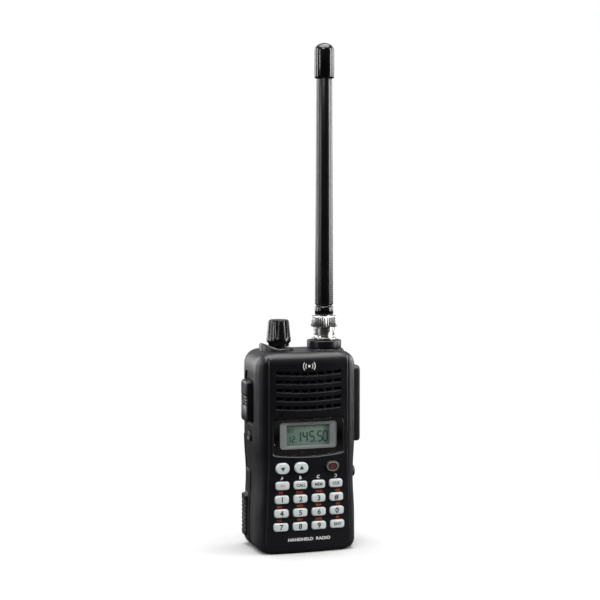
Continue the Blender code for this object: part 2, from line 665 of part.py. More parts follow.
def flute(angle):
    """One open flute down the knob's tapered side."""
    rings = []
    for z, reach in ((115.2, KNOB_WIDE_R + 0.35), (126.0, KNOB_TOP_R + 0.45)):
        centre = (KNOB_X + reach * math.cos(angle), KNOB_Y + reach * math.sin(angle))
        rings.append([(centre[0] + 1.15 * math.cos(2.0 * math.pi * i / 12), centre[1]
                       + 1.15 * math.sin(2.0 * math.pi * i / 12), z) for i in range(12)])
    return loft(rings)


def make_volume_knob():
    """The knob, its shaft and the encoder that it turns."""
    centre = (KNOB_X, KNOB_Y, 0.0)
    origin = (KNOB_X, KNOB_Y, KNOB_LOW)
    bore = SHAFT_R + GAP
    profile = [(bore, KNOB_LOW), (KNOB_NECK_R, KNOB_LOW), (KNOB_NECK_R, KNOB_LOW + 1.2),
               (KNOB_WIDE_R, KNOB_WIDE_Z - 0.8), (KNOB_WIDE_R, KNOB_WIDE_Z), (KNOB_TOP_R, KNOB_TOP - 0.5),
               (KNOB_TOP_R - 0.5, KNOB_TOP), (0.0, KNOB_TOP), (0.0, KNOB_TOP - 1.5), (bore, KNOB_TOP - 1.5)]
    knob = add_solid("volume_knob", *turned(profile, centre, steps=FINE), ((0.014, 0.014, 0.016), 0.45), origin)
    cut(knob, *[flute(2.0 * math.pi * (i + 0.5) / KNOB_FLUTES) for i in range(KNOB_FLUTES)])
    add_solid("encoder_shaft", *drum(SHAFT_R, 99.5, KNOB_TOP - 1.9, centre, steps=20),
              ((0.6, 0.6, 0.6), 0.3, 1.0), origin)
    body = add_solid("encoder_body", *box((KNOB_X - 6.0, KNOB_Y - 6.0, 98.0), (KNOB_X + 6.0, KNOB_Y + 6.0, 104.6)),
                     ((0.3, 0.3, 0.3), 0.4, 0.8))
    join(body, drum(BUSH_R, 102.0, KNOB_LOW - 0.5, centre, steps=24))
    cut(body, drum(bore, 99.0, 120.0, centre, steps=20))


def make_side_controls():
    """The push-to-talk bar, the monitor button and the rubber covers."""
    black = ((0.014, 0.014, 0.016), 0.5)
    rubber = ((0.010, 0.010, 0.011), 0.7)
    ptt = add_solid("ptt_button",
                    *rounded_block((PTT_X, PTT_FRONT, PTT_LOW), (-23.6, PTT_BACK, PTT_HIGH), "X", 2.0, -0.9),
                    black, (-23.6, (PTT_FRONT + PTT_BACK) / 2.0, (PTT_LOW + PTT_HIGH) / 2.0))
    grooves = [box((PTT_X - 1.0, PTT_FRONT - 1.0, z), (PTT_X + 0.6, PTT_BACK + 1.0, z + 0.7))
               for z in (78.6, 80.2, 81.8, 83.4, 85.0)]
    cut(ptt, *grooves)
    add_solid("monitor_button", *turned([(0.0, -29.3), (MONITOR_R - 0.5, -29.3), (MONITOR_R, -28.8),
                                         (MONITOR_R, -24.0), (0.0, -24.0)],
                                        (0.0, MONITOR_Y, MONITOR_Z), "X", 24),
              rubber, (-24.0, MONITOR_Y, MONITOR_Z))
    add_solid("jack_cover",
              *rounded_block((HALF_WIDTH + GAP, JACK_COVER_FRONT, JACK_COVER_LOW),
                             (JACK_COVER_X, JACK_COVER_BACK, JACK_COVER_HIGH), "X", 2.6, 1.0),
              rubber, (HALF_WIDTH + 0.5, JACK_COVER_BACK + 0.3, JACK_COVER_LOW))
    add_solid("dc_cap", *drum(DC_R, 25.0, 30.15, (0.0, DC_Y, DC_Z), "X", 24, 0.6), rubber, (25.0, DC_Y, DC_Z))


# --- antenna --------------------------------------------------------------------------------
def bayonet_slot(start):
    """The sloping slot in the coupling nut that climbs a stud over a quarter turn."""
    rings = []
    for i in range(13):
        turn = math.radians(-10.0 + 112.0 * i / 12.0)
        share = min(max(turn / BAYONET_TURN, 0.0), 1.0)
        z = STUD_Z - BAYONET_LIFT * share
        angle = start - turn
        ring = []
        for radius, rise in ((4.6, -1.1), (6.4, -1.1), (6.4, 1.1), (4.6, 1.1)):
            ring.append((ANTENNA_X + radius * math.cos(angle), ANTENNA_Y + radius * math.sin(angle), z + rise))
        rings.append(ring)
    return loft(rings)


def make_antenna_socket():
    """The jack on top of the body and the ring round its foot."""
    chrome = ((0.75, 0.75, 0.76), 0.15, 1.0)
    centre = (ANTENNA_X, ANTENNA_Y, 0.0)
    flange = COLLAR_HIGH + GAP
    bore_floor = flange + 2.2
    profile = [(0.0, 98.0), (JACK_THREAD_R, 98.0), (JACK_THREAD_R, flange), (JACK_FLANGE_R, flange),
               (JACK_FLANGE_R, flange + 1.0), (JACK_BODY_R, flange + 1.0), (JACK_BODY_R, JACK_TOP),
               (3.5, JACK_TOP), (3.5, bore_floor), (0.0, bore_floor)]
    jack = add_solid("antenna_jack", *turned(profile, centre), chrome)
    for side in (-1, 1):
        low, high = sorted((side * 4.2, side * STUD_REACH))
        join(jack, drum(STUD_R, low, high, (ANTENNA_X, ANTENNA_Y, STUD_Z), "X", 12))
    bore = JACK_THREAD_R + 0.35
    add_solid("antenna_collar",
              *turned([(bore, COLLAR_LOW), (COLLAR_R, COLLAR_LOW), (COLLAR_R, COLLAR_HIGH - 0.5),
                       (COLLAR_R - 0.5, COLLAR_HIGH), (bore, COLLAR_HIGH)], centre, steps=FINE),
              ((0.015, 0.015, 0.016), 0.5))


def make_antenna():
    """The antenna that lifts off: coupling nut, plug, sleeve, element, whip and cap."""
    chrome = ((0.75, 0.75, 0.76), 0.15, 1.0)
    black = ((0.012, 0.012, 0.013), 0.35)
    centre = (ANTENNA_X, ANTENNA_Y, 0.0)
    origin = (ANTENNA_X, ANTENNA_Y, NUT_LOW)
    web = NUT_TOP - 0.7
    nut = add_solid("antenna_coupling_nut",
                    *turned([(NUT_BORE_R, NUT_LOW), (SKIRT_R, NUT_LOW), (SKIRT_R, SKIRT_TOP), (NUT_R, SKIRT_TOP + 0.3),
                             (NUT_R, NUT_TOP - 0.3), (NUT_R - 0.3, NUT_TOP), (3.9, NUT_TOP), (3.9, web),
                             (NUT_BORE_R, web)], centre, steps=36), chrome, origin)
    cut(nut, bayonet_slot(0.0), bayonet_slot(math.pi))
    plug_flange = JACK_TOP + GAP
    add_solid("antenna_plug",
              *turned([(0.0, COLLAR_HIGH + 3.2), (3.15, COLLAR_HIGH + 3.2), (3.15, plug_flange), (4.8, plug_flange),
                       (4.8, plug_flange + 0.8), (3.6, plug_flange + 0.8), (3.6, SLEEVE_TOP - 1.0),
                       (0.0, SLEEVE_TOP - 1.0)], centre), chrome, origin)
    add_solid("antenna_sleeve",
              *turned([(3.9, NUT_TOP + 0.4), (SLEEVE_R, NUT_TOP + 0.4), (SLEEVE_R, SLEEVE_TOP - 0.3),
                       (SLEEVE_R - 0.3, SLEEVE_TOP), (3.9, SLEEVE_TOP)], centre), black, origin)
    add_solid("antenna_element", *drum(1.4, SLEEVE_TOP - 0.6, CAP_LOW - 6.0, centre, steps=16),
              ((0.7, 0.45, 0.25), 0.35, 1.0), origin)
    add_solid("antenna_whip",
              *turned([(1.8, WHIP_LOW), (WHIP_LOW_R - 0.5, WHIP_LOW), (WHIP_LOW_R, WHIP_LOW + 0.6),
                       (WHIP_HIGH_R, CAP_LOW - GAP), (0.0, CAP_LOW - GAP), (0.0, CAP_LOW - 5.0),
                       (1.8, CAP_LOW - 5.0)], centre), black, origin)
    dome = 4.2
    profile = [(0.0, CAP_LOW), (CAP_R - 0.4, CAP_LOW), (CAP_R, CAP_LOW + 0.4)]
    for i in range(6):
        angle = math.pi / 2.0 * i / 6.0
        profile.append((CAP_R * math.cos(angle), ANTENNA_TIP - dome + dome * math.sin(angle)))
    profile.append((0.0, ANTENNA_TIP))
    add_solid("antenna_cap", *turned(profile, centre), black, origin)


def main():
    """Model every part of the radio."""
    clear_scene()
    make_front_housing()
    make_rear_chassis()
    make_chassis_screws()
    make_battery()
    make_battery_latch()
    make_electronics()
    make_window()
    make_keys()
    make_volume_knob()
    make_side_controls()
    make_antenna_socket()
    make_antenna()


main()
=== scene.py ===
"""Looks of a handheld two-way FM radio with a keypad, a display and a bayonet whip antenna.

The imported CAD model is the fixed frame.  Each sub-assembly is a class that reads the places of
its parts from that frame, models their finished shapes and dresses them.  The radio stands on
z = 0 with its keypad facing -Y; lengths in the classes are millimetres.
"""
import json
import logging
import math
from contextlib import contextmanager
from dataclasses import dataclass, field
from enum import Enum
from typing import Callable, ClassVar, Iterator, Optional, Sequence

import bpy
from mathutils import Matrix, Vector


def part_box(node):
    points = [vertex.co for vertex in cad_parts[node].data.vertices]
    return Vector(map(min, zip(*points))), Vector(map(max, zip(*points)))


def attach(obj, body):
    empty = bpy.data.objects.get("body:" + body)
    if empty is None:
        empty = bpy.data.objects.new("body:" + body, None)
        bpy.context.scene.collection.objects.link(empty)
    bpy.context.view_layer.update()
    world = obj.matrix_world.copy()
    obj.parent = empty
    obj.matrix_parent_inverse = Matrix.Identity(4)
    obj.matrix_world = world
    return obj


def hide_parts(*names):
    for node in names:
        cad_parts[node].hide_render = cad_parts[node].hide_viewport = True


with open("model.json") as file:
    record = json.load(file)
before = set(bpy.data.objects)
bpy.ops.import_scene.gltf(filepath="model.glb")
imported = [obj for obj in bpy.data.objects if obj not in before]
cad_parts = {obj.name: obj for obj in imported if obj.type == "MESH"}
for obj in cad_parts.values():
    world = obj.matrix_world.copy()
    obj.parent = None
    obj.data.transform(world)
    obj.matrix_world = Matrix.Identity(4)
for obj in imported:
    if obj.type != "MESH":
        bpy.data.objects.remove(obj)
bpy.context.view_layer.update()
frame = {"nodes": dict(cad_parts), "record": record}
MM = 0.001
# Bands that a wave texture draws in one unit at scale 1.
WAVE_BANDS = 3.1831
LOG = logging.getLogger("radio")

Point = tuple[float, float, float]
Ring = list[Point]
Outline = Sequence[tuple[float, float]]
Table = tuple[tuple[str, ...], ...]
Piece = bpy.types.Object
Tree = bpy.types.NodeTree
Socket = bpy.types.NodeSocket


class Axis(Enum):
    """The world axes, as unit vectors."""

    X = (1.0, 0.0, 0.0)
    Y = (0.0, 1.0, 0.0)
    Z = (0.0, 0.0, 1.0)


class Cut(Enum):
    """What a boolean tool does to a piece."""

    AWAY = "DIFFERENCE"
    ONTO = "UNION"


# --------------------------------------------------------------------------- colour and nodes
def linear(hue: str) -> tuple[float, float, float, float]:
    """Turn an sRGB hex colour into linear RGBA.

    Args:
        hue: Six hex digits, with or without a leading #.

    Returns:
        The colour as four linear values, opaque.
    """
    digits = hue.lstrip("#")
    parts = [int(digits[i:i + 2], 16) / 255.0 for i in (0, 2, 4)]
    curve = [p / 12.92 if p <= 0.04045 else ((p + 0.055) / 1.055) ** 2.4 for p in parts]
    return (*curve, 1.0)


def per_mm(size: float) -> float:
    """A texture's scale for a pattern whose parts are this many millimetres across."""
    return 1.0 / (size * MM)


def add_node(tree: Tree, kind: str, links: Optional[dict] = None, **settings) -> bpy.types.Node:
    """Add a shader node, set it up and feed its inputs.

    Args:
        tree: The material's node tree.
        kind: The node's Blender type, such as "ShaderNodeBump".
        links: Input name or index to a socket, which is linked, or to a value, which is set.
        **settings: The node's own properties.

    Returns:
        The new node.
    """
    node = tree.nodes.new(kind)
    for name, value in settings.items():
        setattr(node, name, value)
    for name, value in (links or {}).items():
        if isinstance(value, Socket):
            tree.links.new(value, node.inputs[name])
        else:
            node.inputs[name].default_value = value
    return node


@dataclass(frozen=True)
class Finish:
    """A plain moulded or coated finish; its subclasses add what their surface shows.

    Attributes:
        name: What the material is called.
        hue: Its main colour, sRGB hex.
        tint: The colour it drifts towards in patches.
        roughness: The shader's middle roughness.
        metallic: 1 for bare metal.
        ior: Index of refraction.
        grain_mm: Size of the surface texture.
        relief_mm: Height of the surface texture.
        patch_mm: Size of the patches of colour and gloss.
        drift: How far colour and gloss drift.
        coat: Weight of a clear top layer.
    """

    name: str
    hue: str
    tint: str
    roughness: float = 0.5
    metallic: float = 0.0
    ior: float = 1.5
    grain_mm: float = 0.3
    relief_mm: float = 0.01
    patch_mm: float = 12.0
    drift: float = 0.06
    coat: float = 0.0

    def shader_inputs(self) -> dict:
        """Values that are the same all over, set on the shader's own sockets."""
        return {"Metallic": self.metallic, "IOR": self.ior, "Coat Weight": self.coat,
                "Coat Roughness": 0.08}

    def texture(self, tree: Tree, where: Socket) -> Socket:
        """The height pattern of the surface: an even grain of small rounded pits."""
        grain = add_node(tree, "ShaderNodeTexNoise",
                         {"Vector": where, "Scale": per_mm(self.grain_mm), "Detail": 2.0, "Roughness": 0.6})
        return grain.outputs["Fac"]

    def colour(self, tree: Tree, where: Socket,
               patch: Socket) -> Socket:
        """The colour pattern: the main hue, drifting to the tint in soft patches."""
        mix = add_node(tree, "ShaderNodeMix",
                       {"Factor": patch, "A": linear(self.hue), "B": linear(self.tint)}, data_type="RGBA")
        return mix.outputs["Result"]

    def surface(self, tree: Tree, shader: bpy.types.Node) -> Socket:
        """What goes to the material's output: the shader itself."""
        return shader.outputs["BSDF"]

    def material(self) -> bpy.types.Material:
        """Build the material, or give back the one already built.

        Returns:
            The node material for this finish.
        """
        known = bpy.data.materials.get(self.name)
        if known:
            return known
        mat = bpy.data.materials.new(self.name)
        mat.use_nodes = True
        tree = mat.node_tree
        tree.nodes.clear()
        where = add_node(tree, "ShaderNodeTexCoord").outputs["Object"]
        patch = add_node(tree, "ShaderNodeTexNoise",
                         {"Vector": where, "Scale": per_mm(self.patch_mm), "Detail": 3.0}).outputs["Fac"]
        gloss = add_node(tree, "ShaderNodeMapRange",
                         {"Value": patch, "From Min": 0.3, "From Max": 0.7,
                          "To Min": self.roughness - self.drift, "To Max": self.roughness + self.drift})
        bump = add_node(tree, "ShaderNodeBump",
                        {"Height": self.texture(tree, where), "Distance": self.relief_mm * MM, "Strength": 1.0})
        shader = add_node(tree, "ShaderNodeBsdfPrincipled",
                          {"Base Color": self.colour(tree, where, patch),
                           "Roughness": gloss.outputs["Result"], "Normal": bump.outputs["Normal"],
                           **self.shader_inputs()})
        add_node(tree, "ShaderNodeOutputMaterial", {"Surface": self.surface(tree, shader)})
        mat.diffuse_color = linear(self.hue)
        return mat


@dataclass(frozen=True)
class TurnedMetal(Finish):
    """Metal turned on a lathe: fine rings round its axis, seen as a stretched sparkle."""

    ring_mm: float = 0.15

    def texture(self, tree: Tree, where: Socket) -> Socket:
        """Rings stacked along Z: noise squeezed to nothing sideways."""
        squeezed = add_node(tree, "ShaderNodeMapping", {"Vector": where, "Scale": (0.02, 0.02, 1.0)})
        rings = add_node(tree, "ShaderNodeTexNoise",
                         {"Vector": squeezed.outputs["Vector"], "Scale": per_mm(self.ring_mm), "Detail": 3.0})
        return rings.outputs["Fac"]


@dataclass(frozen=True)
class ClearAcrylic(Finish):
    """Cast acrylic: clear, hard and glossy, with the faintest waviness."""

    def shader_inputs(self) -> dict:
        """Clear sheet: light passes through it."""
        return {**super().shader_inputs(), "Transmission Weight": 1.0}

    def surface(self, tree: Tree, shader: bpy.types.Node) -> Socket:
        """Lamps and soft light reach what lies behind the sheet as if it weren't there."""
        path = add_node(tree, "ShaderNodeLightPath")
        rays = {0: path.outputs["Is Shadow Ray"], 1: path.outputs["Is Diffuse Ray"]}
        either = add_node(tree, "ShaderNodeMath", rays, operation="MAXIMUM")
        through = add_node(tree, "ShaderNodeBsdfTransparent")
        mix = add_node(tree, "ShaderNodeMixShader", {0: either.outputs["Value"], 1: shader.outputs["BSDF"],
                                                     2: through.outputs["BSDF"]})
        return mix.outputs["Shader"]


@dataclass(frozen=True)
class EdgeShadedLiquidCrystal(Finish):
    """The display's reflective cell: grey-green with a dot-fine haze, darkened towards its edges by painted
    shade.
    """

    centre_mm: Point = (0.0, 0.0, 0.0)
    # How far from the centre the painted shade reaches its darkest.
    shade_reach_mm: float = 14.0

    def colour(self, tree: Tree, where: Socket,
               patch: Socket) -> Socket:
        """Painted shade: the hue in the middle, darkening to the tint towards the ends."""
        middle = tuple(c * MM for c in self.centre_mm)
        far = add_node(tree, "ShaderNodeVectorMath", {0: where, 1: middle}, operation="DISTANCE")
        shade = add_node(tree, "ShaderNodeMapRange",
                         {"Value": far.outputs["Value"], "From Min": 0.0, "From Max": self.shade_reach_mm * MM})
        mix = add_node(tree, "ShaderNodeMix", {"Factor": shade.outputs["Result"], "A": linear(self.hue),
                                               "B": linear(self.tint)}, data_type="RGBA")
        return mix.outputs["Result"]


@dataclass(frozen=True)
class CircuitBoard(Finish):
    """Fibreglass board under green lacquer, with raised copper tracks between its pads."""

    track_mm: float = 1.6

    def texture(self, tree: Tree, where: Socket) -> Socket:
        """Tracks on a square net: the edges of a Manhattan cell pattern."""
        cells = add_node(tree, "ShaderNodeTexVoronoi", {"Vector": where, "Scale": per_mm(self.track_mm)},
                         distance="MANHATTAN", feature="F1")
        return cells.outputs["Distance"]


@dataclass(frozen=True)
class WovenGauze(Finish):
    """Fine gauze: two sets of threads crossing, drawn a little coarse so that they show."""

    def texture(self, tree: Tree, where: Socket) -> Socket:
        """Threads as two crossed sine bands."""
        bands = [add_node(tree, "ShaderNodeTexWave", {"Vector": where, "Scale": per_mm(self.grain_mm) / 20.0},
                          bands_direction=way) for way in ("X", "Z")]
        weave = add_node(tree, "ShaderNodeMath", {0: bands[0].outputs["Fac"], 1: bands[1].outputs["Fac"]},
                         operation="MAXIMUM")
        return weave.outputs["Value"]


@dataclass(frozen=True)
class WoundSleeve(Finish):
    """A tight sleeve over a wound coil: the turns show through as faint rings."""

    turn_mm: float = 1.3

    def texture(self, tree: Tree, where: Socket) -> Socket:
        """One soft ridge along Z for each turn of the coil."""
        turns = add_node(tree, "ShaderNodeTexWave", {"Vector": where, "Scale": per_mm(self.turn_mm) / WAVE_BANDS,
                                                     "Distortion": 0.4, "Detail": 1.0}, bands_direction="Z")
        return turns.outputs["Fac"]


# Body shells: spark-textured ABS blend, nearly black with a cold cast and a soft sheen.
CASE = Finish("textured_abs", "#07070b", "#0b0b10", 0.36, ior=1.42, grain_mm=0.35, relief_mm=0.018, drift=0.03)
# Rear frame: die-cast zinc under baked black paint, a little smoother than the plastic.
CAST = Finish("painted_die_casting", "#09090c", "#0e0e11", 0.38, grain_mm=0.5, relief_mm=0.02)
# Battery shell: the same plastic from another mould, a touch greyer.
PACK = Finish("battery_abs", "#08080c", "#0d0d12", 0.38, ior=1.42, grain_mm=0.35, relief_mm=0.024)
# Controls: smooth moulded nylon with a satin gloss that catches long highlights.
SATIN = Finish("satin_nylon", "#060608", "#09090b", 0.24, grain_mm=0.4, relief_mm=0.0012, drift=0.03)
# Covers: soft rubber, dull, with a powdery bloom.
RUBBER = Finish("neoprene_rubber", "#09090b", "#101013", 0.50, grain_mm=0.22, relief_mm=0.012, drift=0.08)
# Antenna: smooth moulded polyurethane sleeve, glossier than the body.
WHIP = WoundSleeve("polyurethane_sleeve", "#070709", "#0b0b0e", 0.25, relief_mm=0.03, drift=0.03)
# Antenna cap and sleeve: plain glossy moulding.
CAP = Finish("glossy_moulding", "#060608", "#0a0a0c", 0.18, grain_mm=0.6, relief_mm=0.001, drift=0.02)
# Keys: light grey moulded polycarbonate with a silky top.
KEY = Finish("key_polycarbonate", "#cdd3d3", "#bfc6c7", 0.42, grain_mm=0.25, relief_mm=0.004, patch_mm=9.0)
# Power key: the same moulding in charcoal.
DARK_KEY = Finish("charcoal_polycarbonate", "#1d1c1d", "#29282a", 0.38, grain_mm=0.25, relief_mm=0.004)
# Connector: brass under bright nickel, turned on a lathe.
NICKEL = TurnedMetal("bright_nickel", "#bdbdbb", "#a9a9a8", 0.30, 1.0, relief_mm=0.0003, drift=0.03)
# Shafts and cans: tinned steel.
TINNED = TurnedMetal("tinned_steel", "#b9b9b7", "#a2a2a1", 0.32, 1.0, relief_mm=0.003)
# Screws: steel with a black oxide skin.
OXIDE = TurnedMetal("black_oxide_steel", "#37373a", "#242427", 0.36, 1.0, relief_mm=0.003)
# Spring contacts: copper alloy plated with gold.
GOLD = TurnedMetal("gold_flash", "#d9b36a", "#c39a52", 0.24, 1.0, relief_mm=0.002)
# Element: enamelled copper wire.
COPPER = TurnedMetal("enamelled_copper", "#b8713a", "#8f4f25", 0.30, 1.0, relief_mm=0.006, ring_mm=0.8)
# Window: clear acrylic sheet, and the gloss black that is printed behind its border.
CLEAR = ClearAcrylic("clear_acrylic", "#f4f6f5", "#eef1f0", 0.03, ior=1.49, grain_mm=8.0, relief_mm=0.003,
                     drift=0.01)
BORDER = Finish("gloss_black_print", "#050506", "#08080a", 0.16, grain_mm=2.0, relief_mm=0.001, drift=0.02)
# Bezel: satin grey moulding round the display.
BEZEL = Finish("grey_bezel", "#868684", "#76767a", 0.45, grain_mm=0.3, relief_mm=0.004)
# Segments: the dark state of the display cell.
SEGMENT = Finish("display_segment", "#20302b", "#2a3a34", 0.5, grain_mm=1.0, relief_mm=0.001)
# Printing inks: white, orange, dark grey, pink and the beige and red round the power key.
WHITE_INK = Finish("white_ink", "#e9e9e6", "#d5d5d2", 0.55, grain_mm=0.2, relief_mm=0.004, patch_mm=3.0)
ORANGE_INK = Finish("orange_ink", "#c4532a", "#a64522", 0.55, grain_mm=0.2, relief_mm=0.004, patch_mm=3.0)
DARK_INK = Finish("charcoal_ink", "#23262c", "#33363c", 0.5, grain_mm=0.2, relief_mm=0.004, patch_mm=3.0)
PINK_INK = Finish("pink_ink", "#d98f86", "#cf8078", 0.5, grain_mm=0.2, relief_mm=0.004, patch_mm=3.0)
BEIGE_INK = Finish("beige_ring", "#a9a594", "#8f8b7c", 0.42, grain_mm=0.3, relief_mm=0.004, patch_mm=3.0)
RED_INK = Finish("red_ink", "#8e3030", "#7a2626", 0.5, grain_mm=0.2, relief_mm=0.004, patch_mm=3.0)
# Inside parts.
BOARD = CircuitBoard("green_solder_mask", "#1d5a37", "#17482c", 0.42, grain_mm=0.5, relief_mm=0.05)
SILICONE = Finish("silicone_rubber", "#a8aaa8", "#989a98", 0.6, grain_mm=0.4, relief_mm=0.01)
CONE = Finish("speaker_paper", "#1a1a1b", "#262626", 0.75, grain_mm=0.5, relief_mm=0.03)
GAUZE = WovenGauze("woven_gauze", "#0b0b0c", "#121213", 0.9, grain_mm=0.35, relief_mm=0.08)
SWITCH = Finish("black_nylon_moulding", "#161618", "#1f1f21", 0.5, grain_mm=0.3, relief_mm=0.008)
WRAP = Finish("blue_shrink_wrap", "#2b5c92", "#234e80", 0.35, grain_mm=3.0, relief_mm=0.03)
GUIDE = Finish("frosted_acrylic", "#e6e6dc", "#d6d6cc", 0.5, grain_mm=0.3, relief_mm=0.01)


# --------------------------------------------------------------------------- modelling bench
def drop_selection() -> None:
    """Leave edit mode and deselect everything."""
    if bpy.context.object and bpy.context.object.mode != "OBJECT":
        bpy.ops.object.mode_set(mode="OBJECT")
    bpy.ops.object.select_all(action="DESELECT")


def focus(*pieces: Piece) -> Piece:
    """Select only these pieces and make the first one active."""
    drop_selection()
    for piece in pieces:
        piece.select_set(True)
    bpy.context.view_layer.objects.active = pieces[0]
    return pieces[0]


def named(name: str) -> Piece:
    """Name the object that an operator has just added."""
    piece = bpy.context.object
    piece.name = name
    piece.data.name = name
    return piece


@contextmanager
def editing(piece: Piece, domain: str = "VERT") -> Iterator[None]:
    """Edit a piece with the elements that are already flagged as selected.

    Args:
        piece: The mesh object.
        domain: VERT, EDGE or FACE select mode.

    Yields:
        Nothing; operators run on the piece until the block ends.
    """
    bpy.context.view_layer.objects.active = piece
    bpy.context.tool_settings.mesh_select_mode = [domain == kind for kind in ("VERT", "EDGE", "FACE")]
    bpy.ops.object.mode_set(mode="EDIT")
    yield
    bpy.ops.object.mode_set(mode="OBJECT")


def pick(piece: Piece, faces: Optional[Callable[[bpy.types.MeshPolygon], bool]] = None,
         edges: Optional[Callable[[Vector, Vector], bool]] = None) -> None:
    """Select the faces, or the edges by their two end points, that pass a test, and nothing else."""
    mesh = piece.data
    for group in (mesh.vertices, mesh.edges, mesh.polygons):
        group.foreach_set("select", [False] * len(group))
    if faces:
        mesh.polygons.foreach_set("select", [bool(faces(face)) for face in mesh.polygons])
    if edges:
        ends = [[mesh.vertices[i].co for i in edge.vertices] for edge in mesh.edges]
        mesh.edges.foreach_set("select", [bool(edges(a, b)) for a, b in ends])


def heal(piece: Piece) -> None:
    """Merge doubled points and turn every face outwards."""
    focus(piece)
    with editing(piece):
        bpy.ops.mesh.select_all(action="SELECT")
        bpy.ops.mesh.remove_doubles(threshold=1e-7)
        bpy.ops.mesh.normals_make_consistent(inside=False)


def loft(name: str, rings: Sequence[Ring]) -> Piece:
    """Extrude a filled circle once for each ring and set its points on the rings.

    Args:
        name: The piece's name.
        rings: Equal lists of points in millimetres, each listed the same way round.

    Returns:
        A closed piece.
    """
    count = len(rings[0])
    drop_selection()
    bpy.ops.mesh.primitive_circle_add(vertices=count, radius=1.0, fill_type="NGON")
    piece = named(name)
    with editing(piece, "FACE"):
        bpy.ops.mesh.select_all(action="SELECT")
        for _ in rings[1:]:
            bpy.ops.mesh.extrude_region_move(TRANSFORM_OT_translate={"value": (0.0, 0.0, 1.0)})
    step = 2.0 * math.pi / count
    for vertex in piece.data.vertices:
        turn = math.atan2(vertex.co.y, vertex.co.x) - math.pi / 2.0
        ring = rings[round(vertex.co.z)]
        vertex.co = Vector(ring[round(turn / step) % count]) * MM
    heal(piece)
    return piece


def turned(name: str, profile: Outline, centre: Point, axis: Axis = Axis.Z,
           steps: int = 64, ring: bool = False) -> Piece:
    """Spin a profile round an axis.

    Args:
        name: The piece's name.
        profile: (radius, height) points in millimetres; both ends lie on the axis unless ring.
        centre: A point on the axis, millimetres.
        axis: The axis to spin round.
        steps: How many facets round.
        ring: True for a closed profile that stays off the axis.

    Returns:
        A closed piece.
    """
    drop_selection()
    bpy.ops.mesh.primitive_circle_add(vertices=len(profile), radius=1.0, fill_type="NOTHING")
    piece = named(name)
    if not ring:
        last = len(profile) - 1
        ends = {0, last}
        for edge in piece.data.edges:
            edge.select = set(edge.vertices) == ends
        piece.data.vertices.foreach_set("select", [False] * len(profile))
        with editing(piece, "EDGE"):
            bpy.ops.mesh.delete(type="EDGE")
    spot = Vector(centre)
    for vertex, (radius, height) in zip(piece.data.vertices, profile):
        local = {Axis.Z: (radius, 0.0, height), Axis.X: (height, radius, 0.0),
                 Axis.Y: (radius, height, 0.0)}[axis]
        vertex.co = (spot + Vector(local)) * MM
    with editing(piece):
        bpy.ops.mesh.select_all(action="SELECT")
        bpy.ops.mesh.spin(steps=steps, angle=2.0 * math.pi, center=spot * MM, axis=axis.value)
        bpy.ops.mesh.select_all(action="SELECT")
        bpy.ops.mesh.remove_doubles(threshold=1e-6)
        bpy.ops.mesh.normals_make_consistent(inside=False)
    return piece


def block(name: str, low: Sequence[float], high: Sequence[float]) -> Piece:
    """Add a cube and size it to a box given by two corners, in millimetres."""
    drop_selection()
    middle = [(a + b) / 2.0 * MM for a, b in zip(low, high)]
    size = [abs(b - a) * MM for a, b in zip(low, high)]
    bpy.ops.mesh.primitive_cube_add(size=1.0, location=middle, scale=size)
    piece = named(name)
    bpy.ops.object.transform_apply(location=True, rotation=True, scale=True)
    return piece


def rounded_block(name: str, low: Sequence[float], high: Sequence[float], axis: Axis, radius: float,
                  segments: int = 6) -> Piece:
    """A box whose edges along one axis are rounded."""
    piece = block(name, low, high)
    along = Vector(axis.value)
    pick(piece, edges=lambda a, b: abs((b - a).normalized().dot(along)) > 0.99)
    with editing(piece, "EDGE"):
        bpy.ops.mesh.bevel(offset=radius * MM, segments=segments, affect="EDGES")
    return piece


def crown(piece: Piece, facing: Callable[[Vector], bool], width: float, segments: int) -> None:
    """Round the rim of the faces whose normal passes a test."""
    pick(piece, faces=lambda face: facing(face.normal))
    with editing(piece, "FACE"):
        bpy.ops.mesh.bevel(offset=width * MM, segments=segments, affect="EDGES")


def drum(name: str, radius: float, ends: tuple[float, float], centre: Point, axis: Axis = Axis.Z,
         steps: int = 24) -> Piece:
    """A plain cylinder between two places along an axis."""
    low, high = ends
    return turned(name, [(0.0, low), (radius, low), (radius, high), (0.0, high)], centre, axis, steps)


def arc(name: str, centre: Point, radius: float, line: float, start: float, sweep: float) -> Piece:
    """A flat arc standing on the front, spun from a small square.

    Args:
        name: The piece's name.
        centre: The arc's centre, millimetres.
        radius: Radius of its middle line.
        line: Width of the line.
        start: Angle from straight up, clockwise seen from the front, degrees.
        sweep: How far it runs, degrees.

    Returns:
        The closed arc.
    """
    drop_selection()
    spot = Vector(centre) * MM
    bpy.ops.mesh.primitive_plane_add(size=1.0, location=spot + Vector((0.0, 0.0, radius * MM)),
                                     rotation=(0.0, math.pi / 2.0, 0.0))
    piece = named(name)
    piece.scale = (line * MM, 0.04 * MM, 1.0)
    bpy.ops.object.transform_apply(location=True, rotation=True, scale=True)
    turn = Matrix.Rotation(math.radians(start), 4, "Y")
    piece.data.transform(Matrix.Translation(spot) @ turn @ Matrix.Translation(-spot))
    with editing(piece, "FACE"):
        bpy.ops.mesh.select_all(action="SELECT")
        bpy.ops.mesh.spin(steps=32, angle=-math.radians(sweep), center=spot, axis=(0.0, 1.0, 0.0))
    heal(piece)
    return piece


def soften(piece: Piece, width: float, segments: int = 3, angle: float = 40.0) -> None:
    """Round a piece's sharp edges with an applied Bevel modifier."""
    focus(piece)
    bevel = piece.modifiers.new("edge_round", "BEVEL")
    bevel.width = width * MM
    bevel.segments = segments
    bevel.limit_method = "ANGLE"
    bevel.angle_limit = math.radians(angle)
    bevel.use_clamp_overlap = True
    bpy.ops.object.modifier_apply(modifier=bevel.name)


